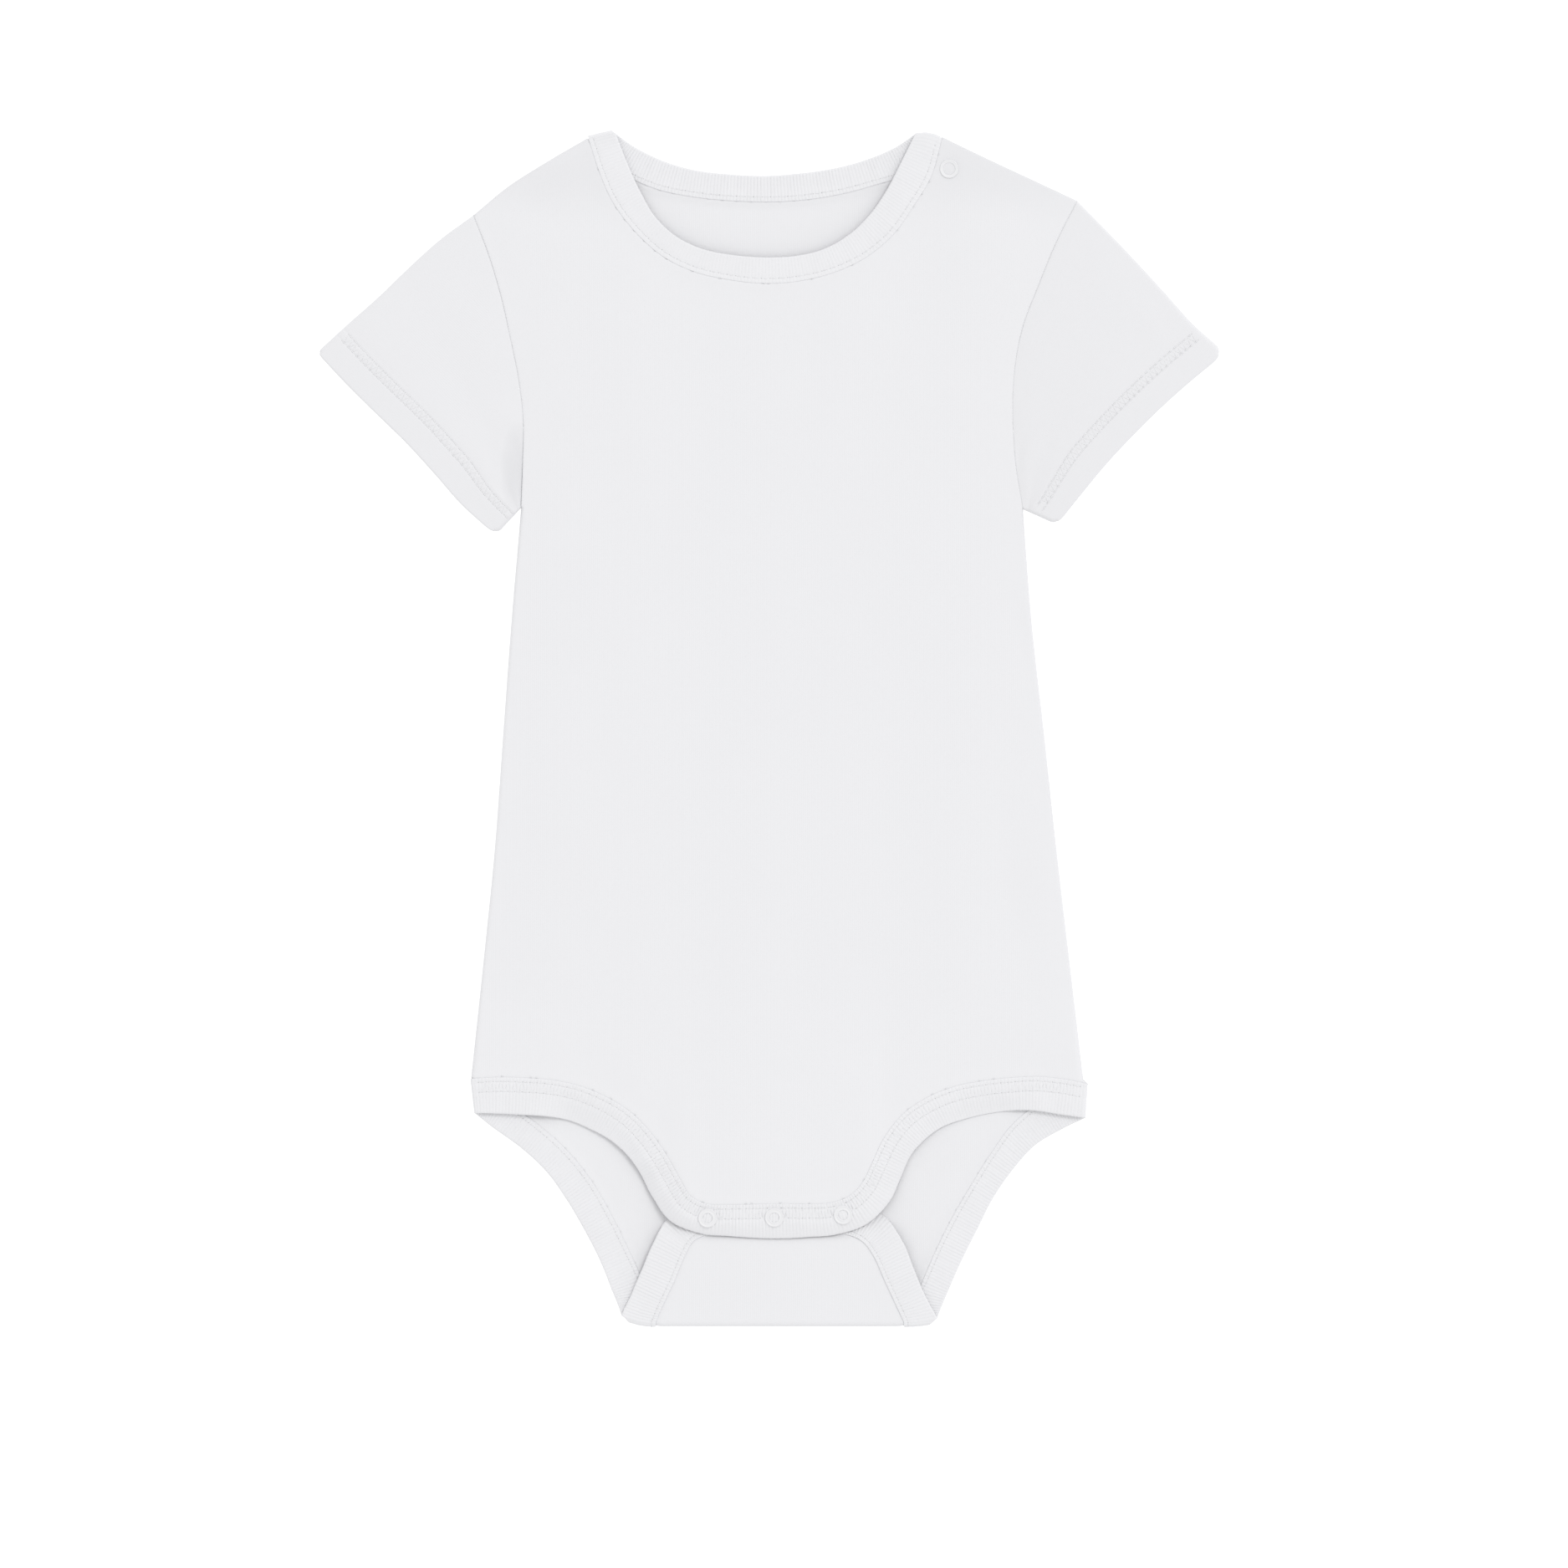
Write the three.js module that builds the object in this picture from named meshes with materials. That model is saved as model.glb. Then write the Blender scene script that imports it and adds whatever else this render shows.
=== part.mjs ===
// Short-sleeved baby bodysuit, buttoned at the crotch and at one shoulder, laid flat with its front up.
// Millimetres. X runs to the wearer's left, Y towards the neck, Z up from the surface that the garment lies on.
// R is the wearer's right (negative X), L the wearer's left.
import * as THREE from "three";

// Cloth and trim
const CLOTH = 1.0; // wall of the knitted body cloth
const RIB = 1.8; // folded rib strip with the cloth's edge between its two faces
const GAP = 0.3; // clearance between neighbouring pieces
const HEM_WALL = 1.5; // turned sleeve hem
const HEM_WIDTH = 14.2; // sleeve hem, from its edge to the upper row of stitches

// Layers, as heights of the middle of the cloth
const BACK_Z = CLOTH / 2; // back panel, flat on the surface
const SEAM_Z = 1.5 * CLOTH + GAP; // front panel where it meets the back at the side seams
const LOFT = 1.6; // how much the front stands higher in the middle
const LOFT_REACH = 60; // distance from the sides over which it rises
const HIP_LIFT = 1.3; // extra height at the hips, where front binding lies on back binding
const PLACKET_Z = 6.1; // front at the crotch, over the flap and the snaps
const PLACKET_X = 2; // middle of the crotch placket
const FOLD_Y = -226.1; // where the crotch starts to fold up
const FLAP_Z = 3.0; // flap above the fold
const FLAP_END_Z = 2.2; // flap under the placket

// Mesh sizes
const FRONT_STEP = 15; // spacing inside the front panel
const EDGE_STEP = 7; // spacing along panel edges
const CHAMFER = 0.35; // softened outer edge of a panel

// Snap fasteners: ring on the outer face, socket under the front's cloth, stud on the layer behind
const SNAP_R = 3.6;
const SNAP_HOLE_R = 1.9;
const CROTCH_SNAPS = [
  { name: "1", x: -23.3, y: -187.4 },
  { name: "2", x: 2.2, y: -187.2 },
  { name: "3", x: 28.5, y: -186.2 },
];
const SHOULDER_SNAP = { name: "shoulder", x: 69.1, y: 213.9 };

// Places where the front lies on thicker layers: middle height, flat radius and radius where it has settled again
const NECK_CORNERS = [
  { x: -59.5, y: 219.4, z: 3.05, flat: 16, reach: 42, sewn: 1 },
  { x: 61.8, y: 217.1, z: 3.6, flat: 17, reach: 44, sewn: 0 },
];

// Bindings: a row for each section, ex/ey its free edge and sx/sy its seam
const NECK_FRONT = [
  { ex: -58.6, ey: 227.7, sx: -68.8, sy: 225.4 },
  { ex: -54.3, ey: 216.8, sx: -64.7, sy: 212.6 },
  { ex: -49.4, ey: 206.0, sx: -59.2, sy: 200.5 },
  { ex: -43.6, ey: 196.0, sx: -50.9, sy: 189.7 },
  { ex: -35.4, ey: 188.2, sx: -40.6, sy: 180.5 },
  { ex: -25.2, ey: 183.3, sx: -28.3, sy: 174.5 },
  { ex: -13.7, ey: 181.0, sx: -15.2, sy: 171.5 },
  { ex: -1.9, ey: 180.1, sx: -2.1, sy: 170.1 },
  { ex: 9.9, ey: 180.6, sx: 11.3, sy: 170.9 },
  { ex: 21.1, ey: 183.3, sx: 24.5, sy: 174.1 },
  { ex: 30.9, ey: 188.9, sx: 37.0, sy: 179.9 },
  { ex: 38.9, ey: 196.7, sx: 47.7, sy: 188.8 },
  { ex: 45.4, ey: 206.2, sx: 55.6, sy: 199.9 },
  { ex: 50.8, ey: 216.7, sx: 62.3, sy: 211.3 },
  { ex: 56.0, ey: 227.0, sx: 66.2, sy: 224.5 },
];
const NECK_BACK = [
  { ex: -58.6, ey: 227.7, sx: -68.8, sy: 225.4 },
  { ex: -50.6, ey: 222.1, sx: -56.7, sy: 213.0 },
  { ex: -39.7, ey: 216.9, sx: -43.5, sy: 206.5 },
  { ex: -27.6, ey: 213.5, sx: -29.4, sy: 203.4 },
  { ex: -14.8, ey: 212.0, sx: -15.5, sy: 201.9 },
  { ex: -1.7, ey: 211.4, sx: -1.7, sy: 201.4 },
  { ex: 11.2, ey: 212.3, sx: 12.3, sy: 202.0 },
  { ex: 24.1, ey: 214.1, sx: 26.1, sy: 204.0 },
  { ex: 36.5, ey: 217.3, sx: 39.7, sy: 207.5 },
  { ex: 47.9, ey: 222.0, sx: 53.4, sy: 212.6 },
  { ex: 56.0, ey: 227.0, sx: 66.2, sy: 224.5 },
];
const LEG_FRONT = [
  { ex: -112.6, ey: -147.4, sx: -114.1, sy: -134.2 },
  { ex: -103.6, ey: -147.6, sx: -103.4, sy: -133.6 },
  { ex: -94.1, ey: -148.1, sx: -93.3, sy: -133.9 },
  { ex: -84.8, ey: -148.7, sx: -82.9, sy: -134.7 },
  { ex: -76.2, ey: -150.3, sx: -72.2, sy: -137.0 },
  { ex: -68.2, ey: -153.6, sx: -62.0, sy: -141.2 },
  { ex: -60.7, ey: -157.7, sx: -52.6, sy: -147.1 },
  { ex: -54.3, ey: -163.3, sx: -44.8, sy: -155.1 },
  { ex: -49.1, ey: -170.5, sx: -38.6, sy: -163.9 },
  { ex: -44.6, ey: -179.2, sx: -33.8, sy: -172.5 },
  { ex: -37.5, ey: -188.7, sx: -29.6, sy: -179.0 },
  { ex: -25.9, ey: -193.4, sx: -23.2, sy: -182.0 },
  { ex: -15.0, ey: -194.4, sx: -14.5, sy: -182.3 },
  { ex: -5.0, ey: -195.1, sx: -4.8, sy: -182.1 },
  { ex: 5.0, ey: -195.3, sx: 4.9, sy: -181.9 },
  { ex: 15.1, ey: -194.8, sx: 14.5, sy: -182.0 },
  { ex: 25.8, ey: -193.8, sx: 23.3, sy: -181.6 },
  { ex: 37.2, ey: -190.0, sx: 30.6, sy: -179.1 },
  { ex: 46.1, ey: -181.5, sx: 35.7, sy: -174.0 },
  { ex: 50.8, ey: -171.6, sx: 39.6, sy: -166.2 },
  { ex: 54.6, ey: -163.4, sx: 44.2, sy: -156.7 },
  { ex: 60.1, ey: -157.3, sx: 51.4, sy: -147.7 },
  { ex: 66.8, ey: -152.6, sx: 60.9, sy: -141.3 },
  { ex: 74.9, ey: -149.8, sx: 71.2, sy: -137.2 },
  { ex: 83.7, ey: -147.7, sx: 81.6, sy: -135.1 },
  { ex: 92.9, ey: -146.5, sx: 92.0, sy: -133.9 },
  { ex: 102.0, ey: -146.5, sx: 102.6, sy: -133.4 },
  { ex: 111.1, ey: -147.9, sx: 113.0, sy: -134.4 },
  { ex: 121.3, ey: -149.3, sx: 122.2, sy: -136.2 },
];
const LEG_BACK_R = [
  { ex: -112.6, ey: -147.4, sx: -114.1, sy: -134.2 },
  { ex: -105.4, ey: -153.1, sx: -99.0, sy: -144.2 },
  { ex: -94.6, ey: -160.9, sx: -87.6, sy: -152.3 },
  { ex: -85.2, ey: -169.7, sx: -76.9, sy: -162.0 },
  { ex: -77.7, ey: -180.0, sx: -67.8, sy: -173.3 },
  { ex: -71.0, ey: -191.3, sx: -60.6, sy: -185.6 },
  { ex: -64.9, ey: -203.1, sx: -54.3, sy: -198.2 },
  { ex: -60.0, ey: -215.4, sx: -48.5, sy: -211.0 },
  { ex: -56.3, ey: -226.1, sx: -43.2, sy: -226.1 },
];
const LEG_BACK_L = [
  { ex: 121.3, ey: -149.3, sx: 122.2, sy: -136.2 },
  { ex: 112.3, ey: -153.6, sx: 106.1, sy: -142.1 },
  { ex: 102.0, ey: -159.8, sx: 94.0, sy: -151.1 },
  { ex: 93.6, ey: -169.0, sx: 85.2, sy: -162.8 },
  { ex: 86.1, ey: -179.8, sx: 77.7, sy: -174.7 },
  { ex: 80.1, ey: -191.6, sx: 70.7, sy: -186.7 },
  { ex: 74.1, ey: -203.6, sx: 64.5, sy: -199.0 },
  { ex: 68.7, ey: -215.9, sx: 59.0, sy: -211.5 },
  { ex: 64.6, ey: -226.1, sx: 51.8, sy: -226.1 },
];
const FLAP_R = [
  { ex: -56.3, ey: -226.1, sx: -43.2, sy: -226.1 },
  { ex: -51.8, ey: -215.0, sx: -40.1, sy: -220.2 },
  { ex: -48.2, ey: -206.5, sx: -36.1, sy: -211.7 },
  { ex: -44.4, ey: -197.6, sx: -32.7, sy: -203.4 },
  { ex: -38.6, ey: -187.8, sx: -29.3, sy: -197.2 },
  { ex: -27.8, ey: -181.8, sx: -24.1, sy: -194.2 },
  { ex: -16.9, ey: -181.2, sx: -16.5, sy: -193.6 },
  { ex: -7.4, ey: -181.1, sx: -7.4, sy: -193.6 },
  { ex: 1.9, ey: -181.1, sx: 1.9, sy: -193.6 },
];
const FLAP_L = [
  { ex: 1.9, ey: -181.1, sx: 1.9, sy: -193.6 },
  { ex: 11.7, ey: -181.2, sx: 11.7, sy: -193.6 },
  { ex: 21.6, ey: -181.2, sx: 21.3, sy: -193.6 },
  { ex: 32.6, ey: -181.7, sx: 29.8, sy: -193.9 },
  { ex: 44.1, ey: -186.7, sx: 36.1, sy: -196.8 },
  { ex: 51.3, ey: -196.4, sx: 40.5, sy: -202.6 },
  { ex: 55.3, ey: -206.1, sx: 44.2, sy: -210.9 },
  { ex: 58.9, ey: -214.9, sx: 48.4, sy: -220.0 },
  { ex: 64.6, ey: -226.1, sx: 51.8, sy: -226.1 },
];

// Outlines shared by front and back, and the sleeves: a row for each point
const SHOULDER_R = [
  { x: -68.8, y: 226.1 },
  { x: -84.2, y: 217.1 },
  { x: -99.2, y: 207.6 },
  { x: -113.0, y: 196.3 },
];
const SHOULDER_L = [
  { x: 66.2, y: 224.8 },
  { x: 83.8, y: 217.7 },
  { x: 101.0, y: 209.8 },
  { x: 118.1, y: 201.8 },
];
const ARMHOLE_R = [
  { x: -113.0, y: 196.3 },
  { x: -107.1, y: 181.0 },
  { x: -102.4, y: 165.3 },
  { x: -98.9, y: 149.4 },
  { x: -95.7, y: 133.3 },
  { x: -93.9, y: 117.1 },
  { x: -94.1, y: 100.7 },
  { x: -94.7, y: 84.3 },
];
const ARMHOLE_L = [
  { x: 118.1, y: 201.8 },
  { x: 110.2, y: 186.1 },
  { x: 103.5, y: 169.9 },
  { x: 97.3, y: 153.4 },
  { x: 94.1, y: 136.2 },
  { x: 93.5, y: 118.6 },
  { x: 94.6, y: 101.0 },
  { x: 97.4, y: 83.7 },
];
const SIDE_R = [
  { x: -94.7, y: 84.3 },
  { x: -98.4, y: 40.7 },
  { x: -101.6, y: -2.9 },
  { x: -104.8, y: -46.5 },
  { x: -109.2, y: -90.1 },
  { x: -113.8, y: -133.6 },
];
const SIDE_L = [
  { x: 97.4, y: 83.7 },
  { x: 100.8, y: 39.7 },
  { x: 105.7, y: -4.1 },
  { x: 110.4, y: -47.9 },
  { x: 115.5, y: -91.7 },
  { x: 120.6, y: -135.5 },
];
const SLEEVE_TOP_R = [
  { x: -113.0, y: 196.3 },
  { x: -125.8, y: 186.9 },
  { x: -137.7, y: 176.2 },
  { x: -149.2, y: 165.1 },
  { x: -161.1, y: 154.5 },
  { x: -172.3, y: 143.5 },
];
const SLEEVE_TOP_L = [
  { x: 118.1, y: 201.8 },
  { x: 129.5, y: 190.3 },
  { x: 140.7, y: 178.6 },
  { x: 151.6, y: 166.7 },
  { x: 162.4, y: 154.7 },
  { x: 172.6, y: 142.6 },
];
const CUFF_R = [
  { x: -172.3, y: 143.5 },
  { x: -161.6, y: 131.6 },
  { x: -150.2, y: 120.3 },
  { x: -138.7, y: 109.1 },
  { x: -127.8, y: 97.2 },
  { x: -117.2, y: 85.2 },
  { x: -104.4, y: 73.7 },
];
const CUFF_L = [
  { x: 172.6, y: 142.6 },
  { x: 161.5, y: 132.6 },
  { x: 150.3, y: 122.6 },
  { x: 139.6, y: 112.0 },
  { x: 129.4, y: 101.1 },
  { x: 119.8, y: 89.5 },
  { x: 110.4, y: 77.8 },
];

// ---- plan curves -------------------------------------------------------------------------------------------------

const column = (rows, kx, ky) => rows.map((r) => [r[kx], r[ky]]);

// smooth curve through the rows of a table, t from 0 to rows - 1
function curveAt(pts, t) {
  const n = pts.length - 1;
  const i = Math.min(n - 1, Math.max(0, Math.floor(t)));
  const f = t - i;
  const get = (k) =>
    k < 0
      ? [2 * pts[0][0] - pts[1][0], 2 * pts[0][1] - pts[1][1]]
      : k > n
        ? [2 * pts[n][0] - pts[n - 1][0], 2 * pts[n][1] - pts[n - 1][1]]
        : pts[k];
  const [a, b, c, d] = [get(i - 1), get(i), get(i + 1), get(i + 2)];
  return [0, 1].map(
    (k) =>
      0.5 *
      (2 * b[k] + (c[k] - a[k]) * f + (2 * a[k] - 5 * b[k] + 4 * c[k] - d[k]) * f * f + (3 * b[k] - a[k] - 3 * c[k] + d[k]) * f ** 3),
  );
}

const distance = (a, b) => Math.hypot(a[0] - b[0], a[1] - b[1]);

// points along a curve at a spacing near the given one, both ends included
function walk(pts, spacing) {
  const fine = [];
  const steps = (pts.length - 1) * 8;
  for (let i = 0; i <= steps; i++) fine.push(curveAt(pts, i / 8));
  const run = [0];
  for (let i = 1; i < fine.length; i++) run.push(run[i - 1] + distance(fine[i], fine[i - 1]));
  const total = run[run.length - 1];
  const count = Math.max(1, Math.round(total / spacing));
  const out = [];
  let k = 0;
  for (let i = 0; i <= count; i++) {
    const want = (total * i) / count;
    while (k < run.length - 2 && run[k + 1] < want) k++;
    const f = Math.min(1, (want - run[k]) / (run[k + 1] - run[k]));
    out.push([0, 1].map((c) => fine[k][c] + f * (fine[k + 1][c] - fine[k][c])));
  }
  return out;
}

const back = (a) => [...a].reverse();
// chains curves end to end into a closed outline, without repeating the shared ends
const chain = (...curves) => curves.flatMap((c) => c.slice(0, -1));

const seam = (rows) => column(rows, "sx", "sy");
const edge = (rows) => column(rows, "ex", "ey");
const plain = (rows) => column(rows, "x", "y");

// ---- surfaces ----------------------------------------------------------------------------------------------------

// 0 at a, 1 at b, smooth between
function ease(a, b, v) {
  const t = Math.min(1, Math.max(0, (v - a) / (b - a)));
  return t * t * (3 - 2 * t);
}
const mix = (a, b, t) => a + (b - a) * t;

const SIDES = [SHOULDER_R, ARMHOLE_R, SIDE_R, SHOULDER_L, ARMHOLE_L, SIDE_L].map((rows) => walk(plain(rows), 6));

function fromSegment(p, a, b) {
  const [dx, dy] = [b[0] - a[0], b[1] - a[1]];
  const t = Math.min(1, Math.max(0, ((p[0] - a[0]) * dx + (p[1] - a[1]) * dy) / (dx * dx + dy * dy)));
  return Math.hypot(p[0] - a[0] - t * dx, p[1] - a[1] - t * dy);
}

function fromSides(x, y) {
  let best = Infinity;
  for (const line of SIDES) {
    for (let i = 1; i < line.length; i++) best = Math.min(best, fromSegment([x, y], line[i - 1], line[i]));
  }
  return best;
}

// height of the middle of the front layer: low at the sides, higher inside, up over hips, placket and neck corners
function frontZ(x, y) {
  const d = fromSides(x, y);
  const near = 1 - Math.min(d, LOFT_REACH) / LOFT_REACH;
  let z = SEAM_Z + LOFT * (1 - near ** 2.2) + HIP_LIFT * ease(-98, -126, y) * near ** 2;
  const overPlacket = ease(-95, -176, y) * (1 - ease(38, 82, Math.abs(x - PLACKET_X)));
  z = mix(z, PLACKET_Z, overPlacket);
  for (const c of NECK_CORNERS) {
    const held = c.sewn ? Math.min(1, d / 5) : 1;
    z = mix(z, c.z, (1 - ease(c.flat, c.reach, Math.hypot(x - c.x, y - c.y))) * held);
  }
  return z;
}

// height of the middle of the folded-up flap
const flapZ = (y) => mix(FLAP_Z, FLAP_END_Z, ease(-208, -190, y));

// ---- bodies ------------------------------------------------------------------------------------------------------

// Collects corners and triangles. Turned to face out by the sign of its volume.
class Shell {
  constructor() {
    this.at = [];
    this.tris = [];
  }
  add(v) {
    this.at.push([v.x, v.y, v.z]);
    return this.at.length - 1;
  }
  quad(a, b, c, d) {
    this.tris.push([a, b, c], [a, c, d]);
  }
  // joins two equal loops of corners with a band
  band(a, b) {
    for (let i = 0; i < a.length; i++) {
      const j = (i + 1) % a.length;
      this.quad(a[i], a[j], b[j], b[i]);
    }
  }
  // closes a loop with a fan from its own middle
  lid(loop, turned) {
    const mid = new THREE.Vector3();
    for (const i of loop) mid.add(new THREE.Vector3(...this.at[i]));
    const m = this.add(mid.divideScalar(loop.length));
    for (let i = 0; i < loop.length; i++) {
      const j = (i + 1) % loop.length;
      this.tris.push(turned ? [m, loop[j], loop[i]] : [m, loop[i], loop[j]]);
    }
  }
  geometry() {
    let volume = 0;
    for (const [a, b, c] of this.tris) {
      const [p, q, r] = [this.at[a], this.at[b], this.at[c]];
      volume += p[0] * (q[1] * r[2] - q[2] * r[1]) - p[1] * (q[0] * r[2] - q[2] * r[0]) + p[2] * (q[0] * r[1] - q[1] * r[0]);
    }
    const index = this.tris.flatMap(([a, b, c]) => (volume > 0 ? [a, b, c] : [a, c, b]));
    const g = new THREE.BufferGeometry();
    g.setAttribute("position", new THREE.Float32BufferAttribute(this.at.flat(), 3));
    g.setIndex(index);
    g.computeVertexNormals();
    return g;
  }
}

// ---- flat patterns -----------------------------------------------------------------------------------------------

const crossed = (a, b, c) => (b[0] - a[0]) * (c[1] - a[1]) - (b[1] - a[1]) * (c[0] - a[0]);

function inside(p, poly) {
  let odd = false;
  for (let i = 0, j = poly.length - 1; i < poly.length; j = i++) {
    const [a, b] = [poly[i], poly[j]];
    if (a[1] > p[1] !== b[1] > p[1] && p[0] < ((b[0] - a[0]) * (p[1] - a[1])) / (b[1] - a[1]) + a[0]) odd = !odd;
  }
  return odd;
}

// Fills an outline with points at the given spacing and joins all of them into even triangles.
function fill(outline, spacing) {
  const pts = outline.map((p) => [...p]);
  const xs = outline.map((p) => p[0]);
  const ys = outline.map((p) => p[1]);
  const rowStep = spacing * 0.866;
  for (let r = 0, y = Math.min(...ys) + rowStep / 2; y < Math.max(...ys); y += rowStep, r++) {
    for (let x = Math.min(...xs) + (r % 2 ? spacing / 2 : 0.1); x < Math.max(...xs); x += spacing) {
      const p = [x + 0.03 * Math.sin(r * 3.1 + x), y + 0.03 * Math.cos(x * 1.7)];
      if (!inside(p, outline)) continue;
      const clear = outline.every((a, i) => fromSegment(p, a, outline[(i + 1) % outline.length]) > spacing * 0.45);
      if (clear) pts.push(p);
    }
  }
  const n = pts.length;
  const all = [...pts, [-5000, -4000], [5000, -4100], [30, 6000]];
  const circle = (a, b, c) => {
    const [A, B, C] = [all[a], all[b], all[c]];
    const d = 2 * crossed(A, B, C);
    const [b2, c2] = [B, C].map((q) => (q[0] - A[0]) ** 2 + (q[1] - A[1]) ** 2);
    const ux = ((C[1] - A[1]) * b2 - (B[1] - A[1]) * c2) / d;
    const uy = ((B[0] - A[0]) * c2 - (C[0] - A[0]) * b2) / d;
    return { v: [a, b, c], x: A[0] + ux, y: A[1] + uy, rr: ux * ux + uy * uy };
  };
  let tris = [circle(n, n + 1, n + 2)];
  for (let i = 0; i < n; i++) {
    const [x, y] = all[i];
    const open = new Map();
    tris = tris.filter((t) => {
      if ((t.x - x) ** 2 + (t.y - y) ** 2 >= t.rr) return true;
      for (const [a, b] of [[t.v[0], t.v[1]], [t.v[1], t.v[2]], [t.v[2], t.v[0]]]) {
        if (open.has(`${b},${a}`)) open.delete(`${b},${a}`);
        else open.set(`${a},${b}`, [a, b]);
      }
      return false;
    });
    for (const [a, b] of open.values()) tris.push(circle(a, b, i));
  }
  const kept = tris
    .map((t) => t.v)
    .filter((t) => t.every((k) => k < n) && inside([0, 1].map((c) => (all[t[0]][c] + all[t[1]][c] + all[t[2]][c]) / 3), outline));
  return { pts, tris: kept };
}

// A panel from its flat pattern: each point goes through place(), which gives the middle of the cloth and its normal.
// soft is 1 when the softened edge is on the normal's side, -1 when it is on the other side.
function panel(pattern, place, wall, soft) {
  const { pts, tris } = pattern;
  const turned = tris.map(([a, b, c]) => (crossed(pts[a], pts[b], pts[c]) > 0 ? [a, b, c] : [a, c, b]));
  const next = new Map();
  const seen = new Set(turned.flatMap(([a, b, c]) => [`${a},${b}`, `${b},${c}`, `${c},${a}`]));
  for (const key of seen) {
    const [a, b] = key.split(",").map(Number);
    if (!seen.has(`${b},${a}`)) next.set(a, b);
  }
  const loop = [];
  let k = next.keys().next().value;
  do {
    loop.push(k);
    k = next.get(k);
  } while (k !== loop[0]);
  if (loop.length !== next.size) throw new Error("panel outline is not one loop");
  const inward = new Map();
  loop.forEach((i, n) => {
    const [p, q, r] = [pts[loop[(n + loop.length - 1) % loop.length]], pts[i], pts[loop[(n + 1) % loop.length]]];
    const n1 = [p[1] - q[1], q[0] - p[0]].map((v) => v / distance(p, q));
    const n2 = [q[1] - r[1], r[0] - q[0]].map((v) => v / distance(q, r));
    const s = [n1[0] + n2[0], n1[1] + n2[1]];
    const scale = 2 / Math.max(0.8, s[0] * s[0] + s[1] * s[1]);
    inward.set(i, [s[0] * scale, s[1] * scale]);
  });
  const body = new Shell();
  const put = (i, offset, height) => {
    const w = inward.get(i);
    const [u, v] = w ? [pts[i][0] + w[0] * offset, pts[i][1] + w[1] * offset] : pts[i];
    const { at, normal } = place(u, v);
    return body.add(at.clone().addScaledVector(normal, height));
  };
  const softFace = pts.map((_, i) => put(i, GAP / 2 + (inward.has(i) ? CHAMFER : 0), (soft * wall) / 2));
  const hardFace = pts.map((_, i) => put(i, GAP / 2, (-soft * wall) / 2));
  const rim = loop.map((i) => put(i, GAP / 2, soft * (wall / 2 - CHAMFER)));
  for (const [a, b, c] of turned) {
    body.tris.push([softFace[a], softFace[b], softFace[c]]);
    body.tris.push([hardFace[a], hardFace[c], hardFace[b]]);
  }
  body.band(rim, loop.map((i) => softFace[i]));
  body.band(loop.map((i) => hardFace[i]), rim);
  return body.geometry();
}

// ---- bindings ----------------------------------------------------------------------------------------------------

// Section of a folded rib strip: a across it from the seam (share of the width, then millimetres), b across its thickness.
const STRIP = [
  { share: 0, a: GAP / 2, b: -0.55 },
  { share: 0, a: GAP / 2 + 0.35, b: -0.9 },
  { share: 1, a: -0.8, b: -0.9 },
  { share: 1, a: -0.2, b: -0.55 },
  { share: 1, a: 0, b: 0 },
  { share: 1, a: -0.2, b: 0.55 },
  { share: 1, a: -0.8, b: 0.9 },
  { share: 0, a: GAP / 2 + 0.35, b: 0.9 },
  { share: 0, a: GAP / 2, b: 0.55 },
];

// A strip through its stations. Each has the seam point, the free edge point and the direction of its outer face.
function strip(stations) {
  const body = new Shell();
  const rings = stations.map(({ seamAt, edgeAt, up }) => {
    const across = edgeAt.clone().sub(seamAt);
    const width = across.length();
    across.divideScalar(width);
    return STRIP.map(({ share, a, b }) =>
      body.add(seamAt.clone().addScaledVector(across, share * width + a).addScaledVector(up, (b * RIB) / 1.8)),
    );
  });
  for (let i = 1; i < rings.length; i++) body.band(rings[i - 1], rings[i]);
  body.lid(rings[0], true);
  body.lid(rings[rings.length - 1], false);
  return body.geometry();
}

// stations along a table, `per` to each row, lying flat with the outer face up or down
function flatStations(rows, per, height, facing, ends = [0, 0]) {
  const [e, s] = [edge(rows), seam(rows)];
  const out = [];
  const steps = (rows.length - 1) * per;
  for (let i = ends[0]; i <= steps - ends[1]; i++) {
    const [p, q] = [curveAt(e, i / per), curveAt(s, i / per)];
    const z = height((p[0] + q[0]) / 2, (p[1] + q[1]) / 2);
    out.push({ edgeAt: new THREE.Vector3(...p, z), seamAt: new THREE.Vector3(...q, z), up: new THREE.Vector3(0, 0, facing) });
  }
  return out;
}

// stations round a fold, from one height to the other, bulging towards `out` across the line between edge and seam
function foldStations(edgePt, seamPt, from, to, out, pinch) {
  const r = Math.abs(to - from) / 2;
  const mid = (from + to) / 2;
  const inwards = new THREE.Vector3(seamPt[0] - edgePt[0], seamPt[1] - edgePt[1], 0).normalize();
  const stations = [];
  for (const share of [0.2, 0.4, 0.6, 0.8]) {
    const t = Math.PI * share;
    const rise = new THREE.Vector3(out[0] * r * Math.sin(t), out[1] * r * Math.sin(t), mid + ((from - to) / 2) * Math.cos(t));
    const up = new THREE.Vector3(out[0] * Math.sin(t), out[1] * Math.sin(t), Math.sign(from - to) * Math.cos(t));
    stations.push({
      edgeAt: new THREE.Vector3(...edgePt, 0).add(rise).addScaledVector(inwards, pinch * Math.sin(t)),
      seamAt: new THREE.Vector3(...seamPt, 0).add(rise),
      up,
    });
  }
  return stations;
}

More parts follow.
